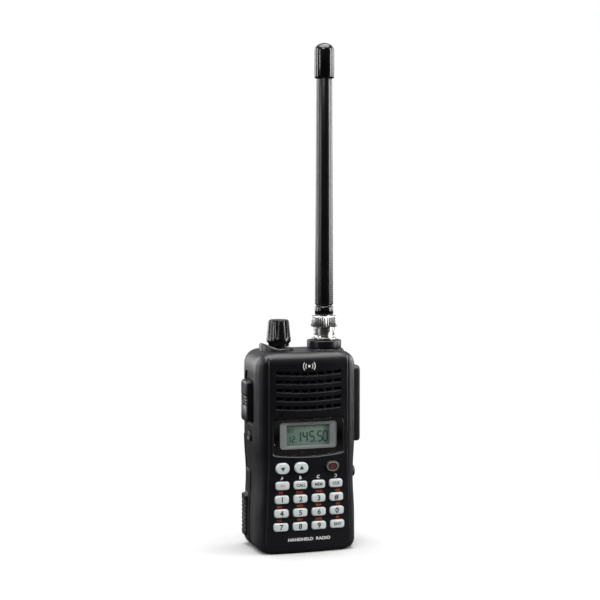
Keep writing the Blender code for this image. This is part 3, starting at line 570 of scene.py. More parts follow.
def merge(name: str, pieces: Sequence[Piece]) -> Piece:
    """Join several pieces into one object."""
    focus(*pieces)
    if len(pieces) > 1:
        bpy.ops.object.join()
    return named(name)


def carve(piece: Piece, tool: Piece, how: Cut = Cut.AWAY) -> None:
    """Apply a boolean with a tool, and throw the tool away."""
    focus(piece)
    change = piece.modifiers.new("carve", "BOOLEAN")
    change.operation = how.value
    change.solver = "EXACT"
    change.object = tool
    bpy.ops.object.modifier_apply(modifier=change.name)
    bpy.data.objects.remove(tool, do_unlink=True)


def settle(piece: Piece, finish: Finish, body: str, *nodes: str, slot: str = "",
           angle: float = 32.0) -> Piece:
    """Finish a piece: smooth it, dress it, hang it on its body and hide the CAD nodes it replaces.

    Args:
        piece: The mesh object.
        finish: What it is made of.
        body: The CAD body it rides on.
        *nodes: The CAD nodes it stands for.
        slot: The record's material slot, for a piece that replaces nothing; not used.
        angle: Edges sharper than this stay sharp.

    Returns:
        The piece.
    """
    focus(piece)
    bpy.ops.object.transform_apply(location=True, rotation=True, scale=True)
    bpy.ops.object.shade_smooth_by_angle(angle=math.radians(angle))
    piece.data.materials.clear()
    piece.data.materials.append(finish.material())
    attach(piece, body)
    if nodes:
        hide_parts(*nodes)
    LOG.info("%s: %s, %d faces", piece.name, finish.name, len(piece.data.polygons))
    return piece


def span(node: str) -> tuple[Vector, Vector]:
    """A CAD node's lowest and highest corners, in millimetres."""
    low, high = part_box(node)
    return Vector(low) / MM, Vector(high) / MM


def grown(node: str, by: float) -> tuple[Vector, Vector]:
    """A CAD node's box, larger all round by a margin in millimetres."""
    low, high = span(node)
    room = Vector((by, by, by))
    return low - room, high + room


def lettering(name: str, words: str, height: float, place: Point, depth: float = 0.02,
              stretch: float = 1.0) -> Piece:
    """Set a line of type standing on the front, as a thin mesh.

    Args:
        name: The piece's name.
        words: What it says.
        height: Height of a capital, millimetres.
        place: The middle of the line, millimetres.
        depth: Half thickness of the ink, millimetres.
        stretch: Width over the font's own width.

    Returns:
        The mesh piece, facing -Y.
    """
    drop_selection()
    bpy.ops.object.text_add(location=(0.0, 0.0, 0.0))
    piece = bpy.context.object
    piece.data.body = words
    piece.data.size = height / 0.7 * MM
    piece.data.align_x = "CENTER"
    piece.data.align_y = "CENTER"
    piece.data.extrude = depth * MM
    piece.data.resolution_u = 3
    piece.data.offset = 0.045 * height * MM
    bpy.ops.object.convert(target="MESH")
    piece = named(name)
    piece.rotation_euler = (math.pi / 2.0, 0.0, 0.0)
    piece.scale = (stretch, 1.0, 1.0)
    piece.location = Vector(place) * MM
    bpy.ops.object.transform_apply(location=True, rotation=True, scale=True)
    return piece


# --------------------------------------------------------------------------- body shape
@dataclass
class BodyShape:
    """The outline that the housing, the rear cover and the battery share."""

    half: float = 28.0
    waist: float = 1.0
    waist_z: float = 40.0
    waist_reach: float = 22.0
    height: float = 108.2
    front: float = -17.25
    rear: float = 17.25
    panel_top: float = 21.7
    panel_foot: float = 23.5
    bulge: float = 1.0
    step: float = 0.6
    flank_y: float = -8.0
    shoulder: float = 8.0
    top_fillet: float = 5.8
    foot_corner: float = 6.0
    foot_fillet: float = 2.0
    rear_corner: float = 5.0
    rear_fillet: float = 3.0

    @staticmethod
    def drop(distance: float, radius: float) -> float:
        """How far a fillet has drawn in, this far past its start."""
        distance = min(max(distance, 0.0), radius)
        return radius - math.sqrt(max(radius * radius - distance * distance, 0.0))

    def width_at(self, z: float) -> float:
        """Half width at a height: waist, shoulders and foot corners."""
        reach = min(abs(z - self.waist_z) / self.waist_reach, 1.0)
        wide = self.half - self.waist * (0.5 + 0.5 * math.cos(math.pi * reach))
        wide -= self.drop(z - (self.height - self.shoulder), self.shoulder)
        return wide - self.drop(self.foot_corner - z, self.foot_corner)

    def front_at(self, z: float) -> float:
        """Where the middle of the front panel lies at a height."""
        top = self.drop(z - (self.height - self.top_fillet), self.top_fillet)
        return self.front + top + self.drop(self.foot_fillet - z, self.foot_fillet)

    def panel_at(self, z: float) -> float:
        """Half width of the raised front panel at a height."""
        share = min(max((50.0 - z) / 45.0, 0.0), 1.0)
        flat = self.panel_top + (self.panel_foot - self.panel_top) * share
        return min(flat, self.width_at(z) - 4.0)

    def surface(self, x: float, z: float) -> float:
        """The front panel's y at a point: bowed a little from side to side."""
        return self.front_at(z) + self.bulge * (x / self.panel_at(z)) ** 2

    def front_ring(self, z: float, back: float, inset: float = 0.0) -> Ring:
        """The plan outline of the front housing at a height.

        Args:
            z: The height.
            back: Where its open back edge lies.
            inset: How far to move in, for the inner wall.

        Returns:
            Points from the front's middle, anticlockwise from above.
        """
        edge = self.panel_at(z) - inset
        wide = self.width_at(z) - inset
        lip = self.front_at(z) + self.bulge + self.step + inset
        right = [(edge * i / 10.0, self.front_at(z) + inset + self.bulge * (i / 10.0) ** 2)
                 for i in range(11)]
        start = edge + self.step
        for i in range(13):
            turn = math.pi / 2.0 * i / 12.0
            right.append((start + (wide - start) * math.sin(turn),
                          self.flank_y - (self.flank_y - lip) * math.cos(turn)))
        right += [(wide, self.flank_y + (back - self.flank_y) * i / 3.0) for i in (1, 2, 3)]
        right += [(wide / 2.0, back), (0.0, back)]
        return self.mirrored(right, z)

    def rear_ring(self, z: float, front: float, wide: float, rear: float) -> Ring:
        """The plan outline of a rear part: flat in front, round corners behind."""
        radius = min(self.rear_corner, rear - front - 0.4)
        right = [(0.0, front), (wide / 2.0, front), (wide, front)]
        for i in range(10):
            turn = math.pi / 2.0 * i / 9.0
            right.append((wide - radius + radius * math.cos(turn), rear - radius + radius * math.sin(turn)))
        right += [(wide / 2.0, rear), (0.0, rear)]
        return self.mirrored(right, z)

    @staticmethod
    def mirrored(right: Outline, z: float) -> Ring:
        """Close a half outline with its mirror image."""
        left = [(-x, y) for x, y in reversed(right[1:-1])]
        return [(x, y, z) for x, y in (*right, *left)]

    def levels(self, low: float, high: float) -> list[float]:
        """Heights to sample between two limits, close together at the fillets."""
        heights = {low, high}
        heights.update(range(8, 100, 4))
        for i in range(1, 11):
            sweep = math.sin(math.pi / 2.0 * i / 10.0)
            heights.add(self.foot_corner * (1.0 - sweep))
            heights.add(self.height - self.shoulder * (1.0 - sweep))
        return sorted(z for z in heights if low <= z <= high)


SHAPE = BodyShape()


# --------------------------------------------------------------------------- stage
@dataclass
class Stage:
    """Camera, softboxes and pale floor."""

    azimuth: float = -16.78
    elevation: float = 3.89
    distance: float = 755.7
    aim: Point = (0.0, 0.0, 135.24)
    focal: float = 83.44
    floor_half: float = 6000.0

    def direction(self, azimuth: float, elevation: float) -> Vector:
        """Unit vector from the object towards a bearing."""
        a, e = math.radians(azimuth), math.radians(elevation)
        return Vector((math.sin(a) * math.cos(e), -math.cos(a) * math.cos(e), math.sin(e)))

    def camera(self) -> None:
        """Set up the camera that looks at the radio from front left."""
        target = Vector(self.aim) * MM
        back = self.direction(self.azimuth, self.elevation)
        drop_selection()
        bpy.ops.object.camera_add(location=target + back * self.distance * MM)
        camera = bpy.context.object
        camera.name = "main_camera"
        camera.rotation_euler = back.to_track_quat("Z", "Y").to_euler()
        camera.data.lens = self.focal
        camera.data.sensor_width = 36.0
        camera.data.clip_start = 0.01
        camera.data.clip_end = 50.0
        bpy.context.scene.camera = camera

    def softbox(self, name: str, azimuth: float, elevation: float, distance: float,
                size: tuple[float, float], power: float) -> None:
        """Add a rectangular area light that faces the radio; lengths in metres, power in watts."""
        target = Vector(self.aim) * MM
        back = self.direction(azimuth, elevation)
        drop_selection()
        bpy.ops.object.light_add(type="AREA", location=target + back * distance)
        lamp = bpy.context.object
        lamp.name = name
        lamp.rotation_euler = back.to_track_quat("Z", "Y").to_euler()
        lamp.data.shape = "RECTANGLE"
        lamp.data.size, lamp.data.size_y = size
        lamp.data.energy = power
        lamp.visible_camera = False

    def lights(self) -> None:
        """A large box overhead and a tall strip at each side."""
        self.softbox("overhead_box", 0.0, 86.0, 1.0, (1.2, 1.1), 30.0)
        self.softbox("front_fill", self.azimuth - 12.0, 38.0, 1.4, (0.5, 0.3), 6.5)
        self.softbox("left_strip", -110.0, 8.0, 1.1, (0.24, 1.1), 8.0)
        self.softbox("left_rim", -150.0, 6.0, 1.3, (0.4, 1.1), 8.0)
        self.softbox("right_strip", 66.0, 8.0, 1.1, (0.26, 1.1), 14.0)
        self.softbox("right_rim", 108.0, 8.0, 1.2, (0.3, 1.1), 9.0)
        self.softbox("left_high", -72.0, 10.0, 1.1, (0.10, 0.46), 2.2)
        self.softbox("right_high", 89.0, 10.0, 1.1, (0.08, 0.46), 1.8)

    def world(self) -> None:
        """A white surround to the eye that lights the radio only faintly."""
        world = bpy.data.worlds.new("surround")
        world.use_nodes = True
        tree = world.node_tree
        tree.nodes.clear()
        path = add_node(tree, "ShaderNodeLightPath")
        look = add_node(tree, "ShaderNodeTexCoord").outputs["Generated"]
        way = add_node(tree, "ShaderNodeSeparateXYZ", {0: look})
        sides = add_node(tree, "ShaderNodeMapRange",
                         {"Value": way.outputs["Y"], "From Min": -0.4, "From Max": 0.4,
                          "To Min": 0.02, "To Max": 0.45})
        strength = add_node(tree, "ShaderNodeMapRange", {"Value": path.outputs["Is Camera Ray"],
                                                         "To Min": sides.outputs["Result"], "To Max": 1.0})
        glow = add_node(tree, "ShaderNodeBackground",
                        {"Color": (1.0, 1.0, 1.0, 1.0), "Strength": strength.outputs["Result"]})
        add_node(tree, "ShaderNodeOutputWorld", {"Surface": glow.outputs["Background"]})
        bpy.context.scene.world = world

    def floor(self) -> None:
        """A pale floor that runs out into the surround with no horizon."""
        drop_selection()
        bpy.ops.mesh.primitive_plane_add(size=2.0 * self.floor_half * MM)
        floor = named("floor")
        mat = bpy.data.materials.new("pale_floor")
        mat.use_nodes = True
        tree = mat.node_tree
        tree.nodes.clear()
        where = add_node(tree, "ShaderNodeTexCoord").outputs["Object"]
        far = add_node(tree, "ShaderNodeVectorMath", {0: where}, operation="LENGTH").outputs["Value"]
        fade = add_node(tree, "ShaderNodeMapRange", {"Value": far, "From Min": 0.10, "From Max": 0.30})
        seen = add_node(tree, "ShaderNodeLightPath").outputs["Is Camera Ray"]
        shade = add_node(tree, "ShaderNodeMix", {"Factor": seen, "A": (0.08, 0.08, 0.08, 1.0),
                                                 "B": (0.42, 0.42, 0.42, 1.0)}, data_type="RGBA")
        matt = add_node(tree, "ShaderNodeBsdfDiffuse", {"Color": shade.outputs["Result"]})
        paper = add_node(tree, "ShaderNodeEmission", {"Color": (1.0, 1.0, 1.0, 1.0), "Strength": seen})
        both = add_node(tree, "ShaderNodeMixShader", {0: fade.outputs["Result"], 1: matt.outputs["BSDF"],
                                                      2: paper.outputs["Emission"]})
        add_node(tree, "ShaderNodeOutputMaterial", {"Surface": both.outputs["Shader"]})
        floor.data.materials.append(mat)

    def build(self) -> None:
        """Set up everything round the radio."""
        self.camera()
        self.lights()
        self.world()
        self.floor()
        bpy.context.scene.view_settings.view_transform = "Standard"


# --------------------------------------------------------------------------- shells
@dataclass
class FrontHousing:
    """The front shell: raised panel, grille, window recess, key holes and side openings."""

    wall: float = 2.2
    back: float = 12.0
    back_low: float = 2.5
    seam: float = 43.5
    grooves: int = 5
    groove_low: float = 77.1
    groove_pitch: float = 4.575
    groove_height: float = 2.45
    groove_half: float = 18.2
    groove_depth: float = 0.8
    smile: float = 0.9
    lip: float = 0.6
    slots: int = 8
    slot_width: float = 2.9
    key_gap: float = 0.35
    key_corner: float = 1.3
    oval_corner: float = 2.8
    edge: float = 0.14
    mic_hole: float = 0.8

    def shell(self) -> Piece:
        """The outer form with its cavity: a loft inside a loft."""
        top = SHAPE.height
        outer = loft("front_housing", [SHAPE.front_ring(z, self.back) for z in SHAPE.levels(0.0, top)])
        self.bosses(outer)
        levels = SHAPE.levels(self.wall, top - self.wall - 0.4)
        carve(outer, loft("cavity", [SHAPE.front_ring(z, self.back + 1.0, self.wall) for z in levels]))
        return outer

    def bosses(self, outer: Piece) -> None:
        """Grow the seats of the antenna and the knob, and the knob's guard, out of the top."""
        collar, knob = span("antenna_collar"), span("volume_knob")
        at = ((collar[0] + collar[1]) / 2.0, (knob[0] + knob[1]) / 2.0)
        seat = [(0.0, 102.0), (12.2, 102.0), (11.9, 105.5), (10.6, 107.8), (10.3, 108.2), (9.9, 108.5),
                (0.0, 108.5)]
        carve(outer, turned("antenna_seat", seat, (at[0].x, at[0].y, 0.0), steps=72), Cut.ONTO)
        for turn in (-112.0, -50.0):
            a = math.radians(turn)
            x, y = at[0].x + 9.6 * math.cos(a), at[0].y + 9.6 * math.sin(a)
            lug = [(0.0, 106.0), (1.0, 106.0), (1.0, 108.3), (0.7, 108.7), (0.0, 108.7)]
            carve(outer, turned("lug", lug, (x, y, 0.0), steps=20), Cut.ONTO)
        seat = [(0.0, 104.0), (8.0, 104.0), (8.0, 108.9), (7.5, 109.4), (0.0, 109.4)]
        carve(outer, turned("knob_seat", seat, (at[1].x, at[1].y, 0.0), steps=64), Cut.ONTO)
        carve(outer, self.guard(at[1].x, at[1].y), Cut.ONTO)

    def guard(self, x: float, y: float) -> Piece:
        """The crescent wall round the knob's outer side, highest at the far left."""
        rings = []
        for i in range(33):
            share = i / 32.0
            a = math.radians(95.0 + 170.0 * share)
            top = 108.6 + 3.4 * math.sin(math.pi * share) ** 0.8
            outline = ((8.2, 106.5), (10.7, 106.5), (10.6, top - 0.9), (10.35, top - 0.35), (9.9, top),
                       (9.2, top), (8.5, top - 0.2), (8.2, top - 0.5))
            rings.append([(x + r * math.cos(a), y + r * math.sin(a), z) for r, z in outline])
        return loft("guard", rings)

    def groove(self, index: int) -> Piece:
        """One smile-curved band across the grille, cut to an even depth."""
        rings = []
        for i in range(25):
            x = self.groove_half * math.sin(math.pi / 2.0 * (i - 12) / 12.0)
            low = self.groove_low + index * self.groove_pitch + self.smile * (x / self.groove_half) ** 2
            near, floor = SHAPE.surface(x, 90.0) - 1.0, SHAPE.surface(x, 90.0) + self.groove_depth
            high = low + self.groove_height
            if i in (0, 24):
                low, high = low + 0.7, high - 0.7
            rings.append([(x, near, low - 1.25 * self.lip), (x, floor, low + self.lip), (x, floor, high),
                          (x, near, high)])
        return loft("groove", rings)

    def slot(self, index: int, number: int) -> Piece:
        """One opening through the wall at the bottom of a groove."""
        x = 2.0 * self.groove_half / self.slots * (number + 0.5) - self.groove_half
        low = self.groove_low + index * self.groove_pitch + self.smile * (x / self.groove_half) ** 2 + 0.7
        return rounded_block("slot", (x - self.slot_width / 2.0, SHAPE.front - 1.0, low),
                             (x + self.slot_width / 2.0, SHAPE.front + 6.0, low + self.groove_height - 0.95),
                             Axis.Y, 0.5, 3)

    def key_hole(self, name: str, corner: float) -> Piece:
        """The opening that one key passes through."""
        low, high = grown(name, self.key_gap)
        return rounded_block("hole", (low.x, SHAPE.front - 3.0, low.z), (high.x, SHAPE.front + 6.0, high.z),
                             Axis.Y, corner + self.key_gap)

    def openings(self, housing: Piece) -> None:
        """Cut the grooves and recesses in the front wall and everything that goes through it."""
        carve(housing, merge("grooves", [self.groove(i) for i in range(self.grooves)]))
        down, up = span("key_down"), span("key_up")
        recess = rounded_block("recess", (down[0].x - 0.9, SHAPE.front - 3.0, down[0].z - 0.9),
                               (up[1].x + 0.9, SHAPE.front + 0.4, up[1].z + 0.9), Axis.Y, 3.6)
        carve(housing, merge("recesses", [recess, DisplayWindow().plate("lens_seat", -0.3, -3.0, 1.7)]))
        carve(housing, DisplayWindow().plate("lens_rim", -0.25, -0.45, 0.65, 1.2))
        keys = [self.key_hole(name, self.oval_corner if name in Keypad.OVALS else self.key_corner)
                for name in Keypad.names()]
        slots = [self.slot(i, j) for i in range(self.grooves) for j in range(self.slots)]
        low, high = grown("lcd_bezel", 0.4)
        mic = span("microphone")
        centre = (mic[0] + mic[1]) / 2.0
        hole = drum("mic", self.mic_hole, (-20.0, -11.0), (centre.x, 0.0, centre.z), Axis.Y)
        window = block("window", (low.x, SHAPE.front - 3.0, low.z), (high.x, SHAPE.front + 6.0, high.z))
        carve(housing, merge("slots", slots))
        carve(housing, merge("openings", [*keys, hole, window]))

    def sides(self, housing: Piece) -> None:
        """Cut the back edge, the side recess and the seats of the side parts."""
        carve(housing, block("back", (-40.0, self.back, self.seam - 1.0), (40.0, 30.0, 120.0)))
        carve(housing, block("back_low", (-41.0, self.back_low, -1.0), (41.0, 31.0, self.seam)))
        bar = span("ptt_button")
        half = SHAPE.half - 0.8
        carve(housing, rounded_block("bar_recess", (-40.0, bar[0].y - 2.4, bar[0].z - 2.1),
                                     (-half, bar[1].y + 2.0, bar[1].z + 4.6), Axis.X, 1.8))
        low, high = grown("ptt_button", 0.4)
        tools = [rounded_block("bar_hole", (-40.0, low.y, low.z), (-22.0, high.y, high.z), Axis.X, 2.3)]
        low, high = grown("jack_block", 0.4)
        tools.append(block("jack_hole", (22.0, low.y, low.z), (40.0, high.y, high.z)))
        for node, side, room in (("monitor_button", -1.0, 0.4), ("dc_cap", 1.0, 0.3)):
            low, high = span(node)
            ends = sorted((side * 22.0, side * 40.0))
            r = (high.z - low.z) / 2.0 + room
            spot = (0.0, (low.y + high.y) / 2.0, (low.z + high.z) / 2.0)
            tools.append(drum(node + "_hole", r, (ends[0], ends[1]), spot, Axis.X, 40))
        for node, r in (("antenna_collar", 5.0), ("volume_knob", 3.8)):
            low, high = span(node)
            spot = ((low.x + high.x) / 2.0, (low.y + high.y) / 2.0, 0.0)
            tools.append(drum(node + "_hole", r, (100.0, 120.0), spot, Axis.Z, 32))
        carve(housing, merge("side_tools", tools))

    def build(self) -> None:
        """Model and dress the front shell."""
        housing = self.shell()
        self.sides(housing)
        self.openings(housing)
        soften(housing, self.edge, 2, 38.0)
        settle(housing, CASE, "radio", "front_housing", angle=28.0)


@dataclass
class RearParts:
    """The rear cover with its screws, the battery pack and its latch."""

    tongue: float = 61.5
    seam: float = 43.5
    gap: float = 0.3
    battery_front: float = 2.8
    overhang: float = 0.4

    def chassis(self) -> None:
        """The upper rear cover with the plate behind the boards."""
        rings = []
        for z in SHAPE.levels(self.tongue + self.gap, SHAPE.height):
            rear = SHAPE.rear - SHAPE.drop(z - (SHAPE.height - SHAPE.rear_fillet), SHAPE.rear_fillet)
            rings.append(SHAPE.rear_ring(z, 12.3, SHAPE.width_at(z), rear))
        cover = loft("rear_chassis", rings)
        carve(cover, block("hollow", (-17.5, 10.0, 71.0), (17.5, 14.65, 104.0)))
        for low, high in (((-19.0, 10.1, 62.0), (19.0, 13.5, 64.5)),
                          ((-24.2, 10.1, 45.5), (24.2, 11.7, 62.4)),
                          ((-24.2, 0.6, 43.8), (24.2, 11.7, 45.5)),
                          ((-24.2, 0.6, 5.0), (24.2, 2.2, 45.5))):
            carve(cover, block("plate", low, high), Cut.ONTO)
        carve(cover, rounded_block("pocket", (-9.0, 15.0, 58.0), (9.0, 30.0, 70.2), Axis.Y, 0.8))
        low, high = grown("contact_block", self.gap)
        carve(cover, block("contacts", (low.x, -1.0, low.z), (high.x, 4.0, high.z)))
        for node in self.screw_nodes():
            low, high = span(node)
            middle = (low + high) / 2.0
            hole = [(0.0, 10.0), (1.3, 10.0), (1.3, 15.45), (2.3, 15.45), (2.3, 31.0), (0.0, 31.0)]
            carve(cover, turned("screw_hole", hole, (middle.x, 0.0, middle.z), Axis.Y, 32))
        soften(cover, 0.15, 2, 40.0)
        settle(cover, CAST, "radio", "rear_chassis", angle=28.0)

    @staticmethod
    def screw_nodes() -> list[str]:
        """The names of the chassis screws' nodes."""
        return sorted(n for n in frame["nodes"] if n.startswith("chassis_screw"))

    def screw(self, node: str) -> None:
        """One pan head screw with a cross recess."""
        low, high = span(node)
        middle = (low + high) / 2.0
        y = high.y
        outline = [(0.0, low.y), (0.7, low.y), (1.0, low.y + 0.5), (1.0, y - 1.4), (2.0, y - 1.4),
                   (2.0, y - 0.5), (1.85, y - 0.2), (1.5, y), (0.0, y)]
        screw = turned(node + "_look", outline, (middle.x, 0.0, middle.z), Axis.Y, 32)
        for wide, tall in ((1.1, 0.22), (0.22, 1.1)):
            carve(screw, block("cross", (middle.x - wide, y - 0.8, middle.z - tall),
                               (middle.x + wide, y + 1.0, middle.z + tall)))
        settle(screw, OXIDE, "radio", node)

    def battery(self) -> None:
        """The battery's shell with the ribbed grips at its sides."""
        rings = []
        for z in SHAPE.levels(0.0, self.tongue):
            rear = SHAPE.rear - SHAPE.drop(SHAPE.foot_fillet - z, SHAPE.foot_fillet)
            rings.append(SHAPE.rear_ring(z, self.battery_front, SHAPE.width_at(z) + self.overhang, rear))
        case = loft("battery_case", rings)
        for side in (-1.0, 1.0):
            ends = sorted((side * 25.0, side * 29.6))
            pad = rounded_block("grip", (ends[0], 6.0, 5.8), (ends[1], 14.0, 29.0), Axis.X, 2.0)
            soften(pad, 0.5, 3, 50.0)
            carve(case, pad, Cut.ONTO)
        carve(case, block("above", (-40.0, -5.0, self.seam - self.gap), (40.0, 12.3, 80.0)))
        carve(case, block("inside", (-25.0, -5.0, 2.8), (25.0, 14.65, 40.6)))
        grooves = [block("groove", (side * 29.6 - 0.5, 5.0, 9.0 + 2.2 * i),
                         (side * 29.6 + 0.5, 15.0, 9.8 + 2.2 * i))
                   for side in (-1.0, 1.0) for i in range(8)]
        carve(case, merge("grip_grooves", grooves))
        soften(case, 0.15, 2, 40.0)
        settle(case, PACK, "battery_pack", "battery_case", angle=28.0)

    def latch(self) -> None:
        """The sliding catch with its finger ribs."""
        low, high = span("battery_latch")
        catch = rounded_block("latch", low, high, Axis.Y, 1.0)
        ribs = [block("rib", (-6.5, high.y - 0.3, low.z + 1.0 + i * 1.2), (6.5, 30.0, low.z + 1.5 + i * 1.2))
                for i in range(3)]
        carve(catch, merge("ribs", ribs))
        soften(catch, 0.15, 2, 50.0)
        settle(catch, SATIN, "battery_latch", "battery_latch")

    def build(self) -> None:
        """Model and dress all the rear parts."""
        self.chassis()
        for node in self.screw_nodes():
            self.screw(node)
        self.battery()
        self.latch()


# --------------------------------------------------------------------------- display
@dataclass
class DisplayWindow:
    """The lens with its printed border, the bezel and the seven-segment display."""

    half: float = 19.2
    low: float = 54.2
    high: float = 72.75
    sag: float = 1.4
    thick: float = 1.2
    view_half: float = 15.9
    view_low: float = 56.5
    view_high: float = 70.9
    ink_far: float = 0.05
    ink_near: float = 0.01
    # Which of the segments a to g each figure lights.
    FIGURES: ClassVar[dict[str, str]] = {"0": "abcdef", "1": "bc", "2": "abged", "4": "fgbc",
                                         "5": "afgcd"}

    def plate(self, name: str, inset: float, front: float, back: float, flare: float = 0.0) -> Piece:
        """A sheet that follows the bowed panel; its lower edge bows down.

        Args:
            name: The piece's name.
            inset: How far its outline lies inside the lens.
            front: Its near face, behind the panel.
            back: Its far face, behind the panel.
            flare: How much wider all round its near face is.

        Returns:
            The closed sheet.
        """
        half = self.half - inset
        rings = []
        for i in range(33):
            x = half * math.sin(math.pi / 2.0 * (i - 16) / 16.0)
            low = self.low + inset - self.sag * (1.0 - (x / half) ** 2)
            high = self.high - inset
            corner = BodyShape.drop(abs(x) - (half - 1.2), 1.2)
            wide = x * (half + flare) / half
            near, far = SHAPE.surface(x, 60.0) + front, SHAPE.surface(x, 60.0) + back
            rings.append([(wide, near, low + corner - flare), (x, far, low + corner), (x, far, high - corner),
                          (wide, near, high - corner + flare)])
        return loft(name, rings)

    def lens(self) -> None:
        """The clear sheet and the black border behind it."""
        sheet = self.plate("window_lens", 0.0, 0.1, 0.1 + self.thick)
        soften(sheet, 0.25, 3, 60.0)
        settle(sheet, CLEAR, "radio", "lcd_window")
        border = self.plate("window_border", 0.12, self.thick + 0.12, self.thick + 0.2)
        hole = rounded_block("view", (-self.view_half, -30.0, self.view_low),
                             (self.view_half, 0.0, self.view_high), Axis.Y, 1.6)
        carve(border, hole)
        settle(border, BORDER, "radio", slot="window_clear")

    def bezel(self) -> None:
        """The grey frame, sloping in to the glass."""
        low, high = span("lcd_bezel")
        frame_piece = rounded_block("bezel", low, high, Axis.Y, 1.0)
        carve(frame_piece, rounded_block("opening", (-12.1, -30.0, 58.1), (12.1, 0.0, 69.05), Axis.Y, 0.5))
        soften(frame_piece, 0.35, 3, 60.0)
        settle(frame_piece, BEZEL, "radio", "lcd_bezel")

    def glass(self) -> None:
        """The display cell."""
        low, high = span("lcd_glass")
        cell = block("display_cell", low, high)
        soften(cell, 0.1, 2, 60.0)
        middle = (low + high) / 2.0
        # The tint is the painted shade that the cell darkens to at its edges.
        tone = EdgeShadedLiquidCrystal("liquid_crystal", "#7b9086", "#647a70", 0.35, grain_mm=0.3, relief_mm=0.001,
                             centre_mm=(middle.x, low.y, middle.z))
        settle(cell, tone, "radio", "lcd_glass")

    def ink(self, name: str, low: tuple[float, float], high: tuple[float, float]) -> Piece:
        """One dark bar just in front of the cell, between two corners in x and z."""
        near = span("lcd_glass")[0].y
        return block(name, (low[0], near - self.ink_far, low[1]), (high[0], near - self.ink_near, high[1]))

    def figure(self, digit: str, x: float, z: float, tall: float, line: float) -> list[Piece]:
        """The lit segments of one figure whose lower left corner is at x, z."""
        wide = tall * 0.52
        gap = line * 0.22
        left, right = (x, x + line), (x + wide - line, x + wide)
        span_x = (x + line * 0.5 + gap, x + wide - line * 0.5 - gap)
        lower = (z + line * 0.5 + gap, z + tall / 2.0 - gap)
        upper = (z + tall / 2.0 + gap, z + tall - line * 0.5 - gap)
        middle = (z + tall / 2.0 - line / 2.0, z + tall / 2.0 + line / 2.0)
        places = {"a": (span_x, (z + tall - line, z + tall)), "g": (span_x, middle),
                  "d": (span_x, (z, z + line)),
                  "f": (left, upper), "b": (right, upper), "e": (left, lower), "c": (right, lower)}
        bars = []
        for name in self.FIGURES[digit]:
            (x0, x1), (z0, z1) = places[name]
            bars.append(self.ink("segment", (x0, z0), (x1, z1)))
        return bars

    def segments(self) -> None:
        """The readout: a channel, a frequency, a battery sign and two flags."""
        marks = []
        for place, digit in zip((-11.2, -8.8), "12"):
            marks += self.figure(digit, place, 59.7, 3.5, 0.55)
        for place, digit in zip((-6.7, -2.9, 0.9, 5.4, 8.4), "14550"):
            marks += self.figure(digit, place, 59.7, 5.9, 0.78)
        marks.append(self.ink("point", (4.45, 59.7), (5.05, 60.35)))
        for low, high in (((-10.9, 65.2), (-8.1, 65.45)), ((-10.9, 66.65), (-8.1, 66.9)),
                          ((-10.9, 65.2), (-10.65, 66.9)), ((-8.35, 65.2), (-8.1, 66.9)),
                          ((-8.1, 65.75), (-7.8, 66.35)), ((-10.4, 65.65), (-9.6, 66.45)),
                          ((-2.2, 67.2), (-1.2, 67.5)), ((4.0, 67.2), (5.0, 67.5))):
            marks.append(self.ink("sign", low, high))
        settle(merge("display_segments", marks), SEGMENT, "radio", slot="display_glass")

    def build(self) -> None:
        """Model and dress the window."""
        self.lens()
        self.bezel()
        self.glass()
        self.segments()


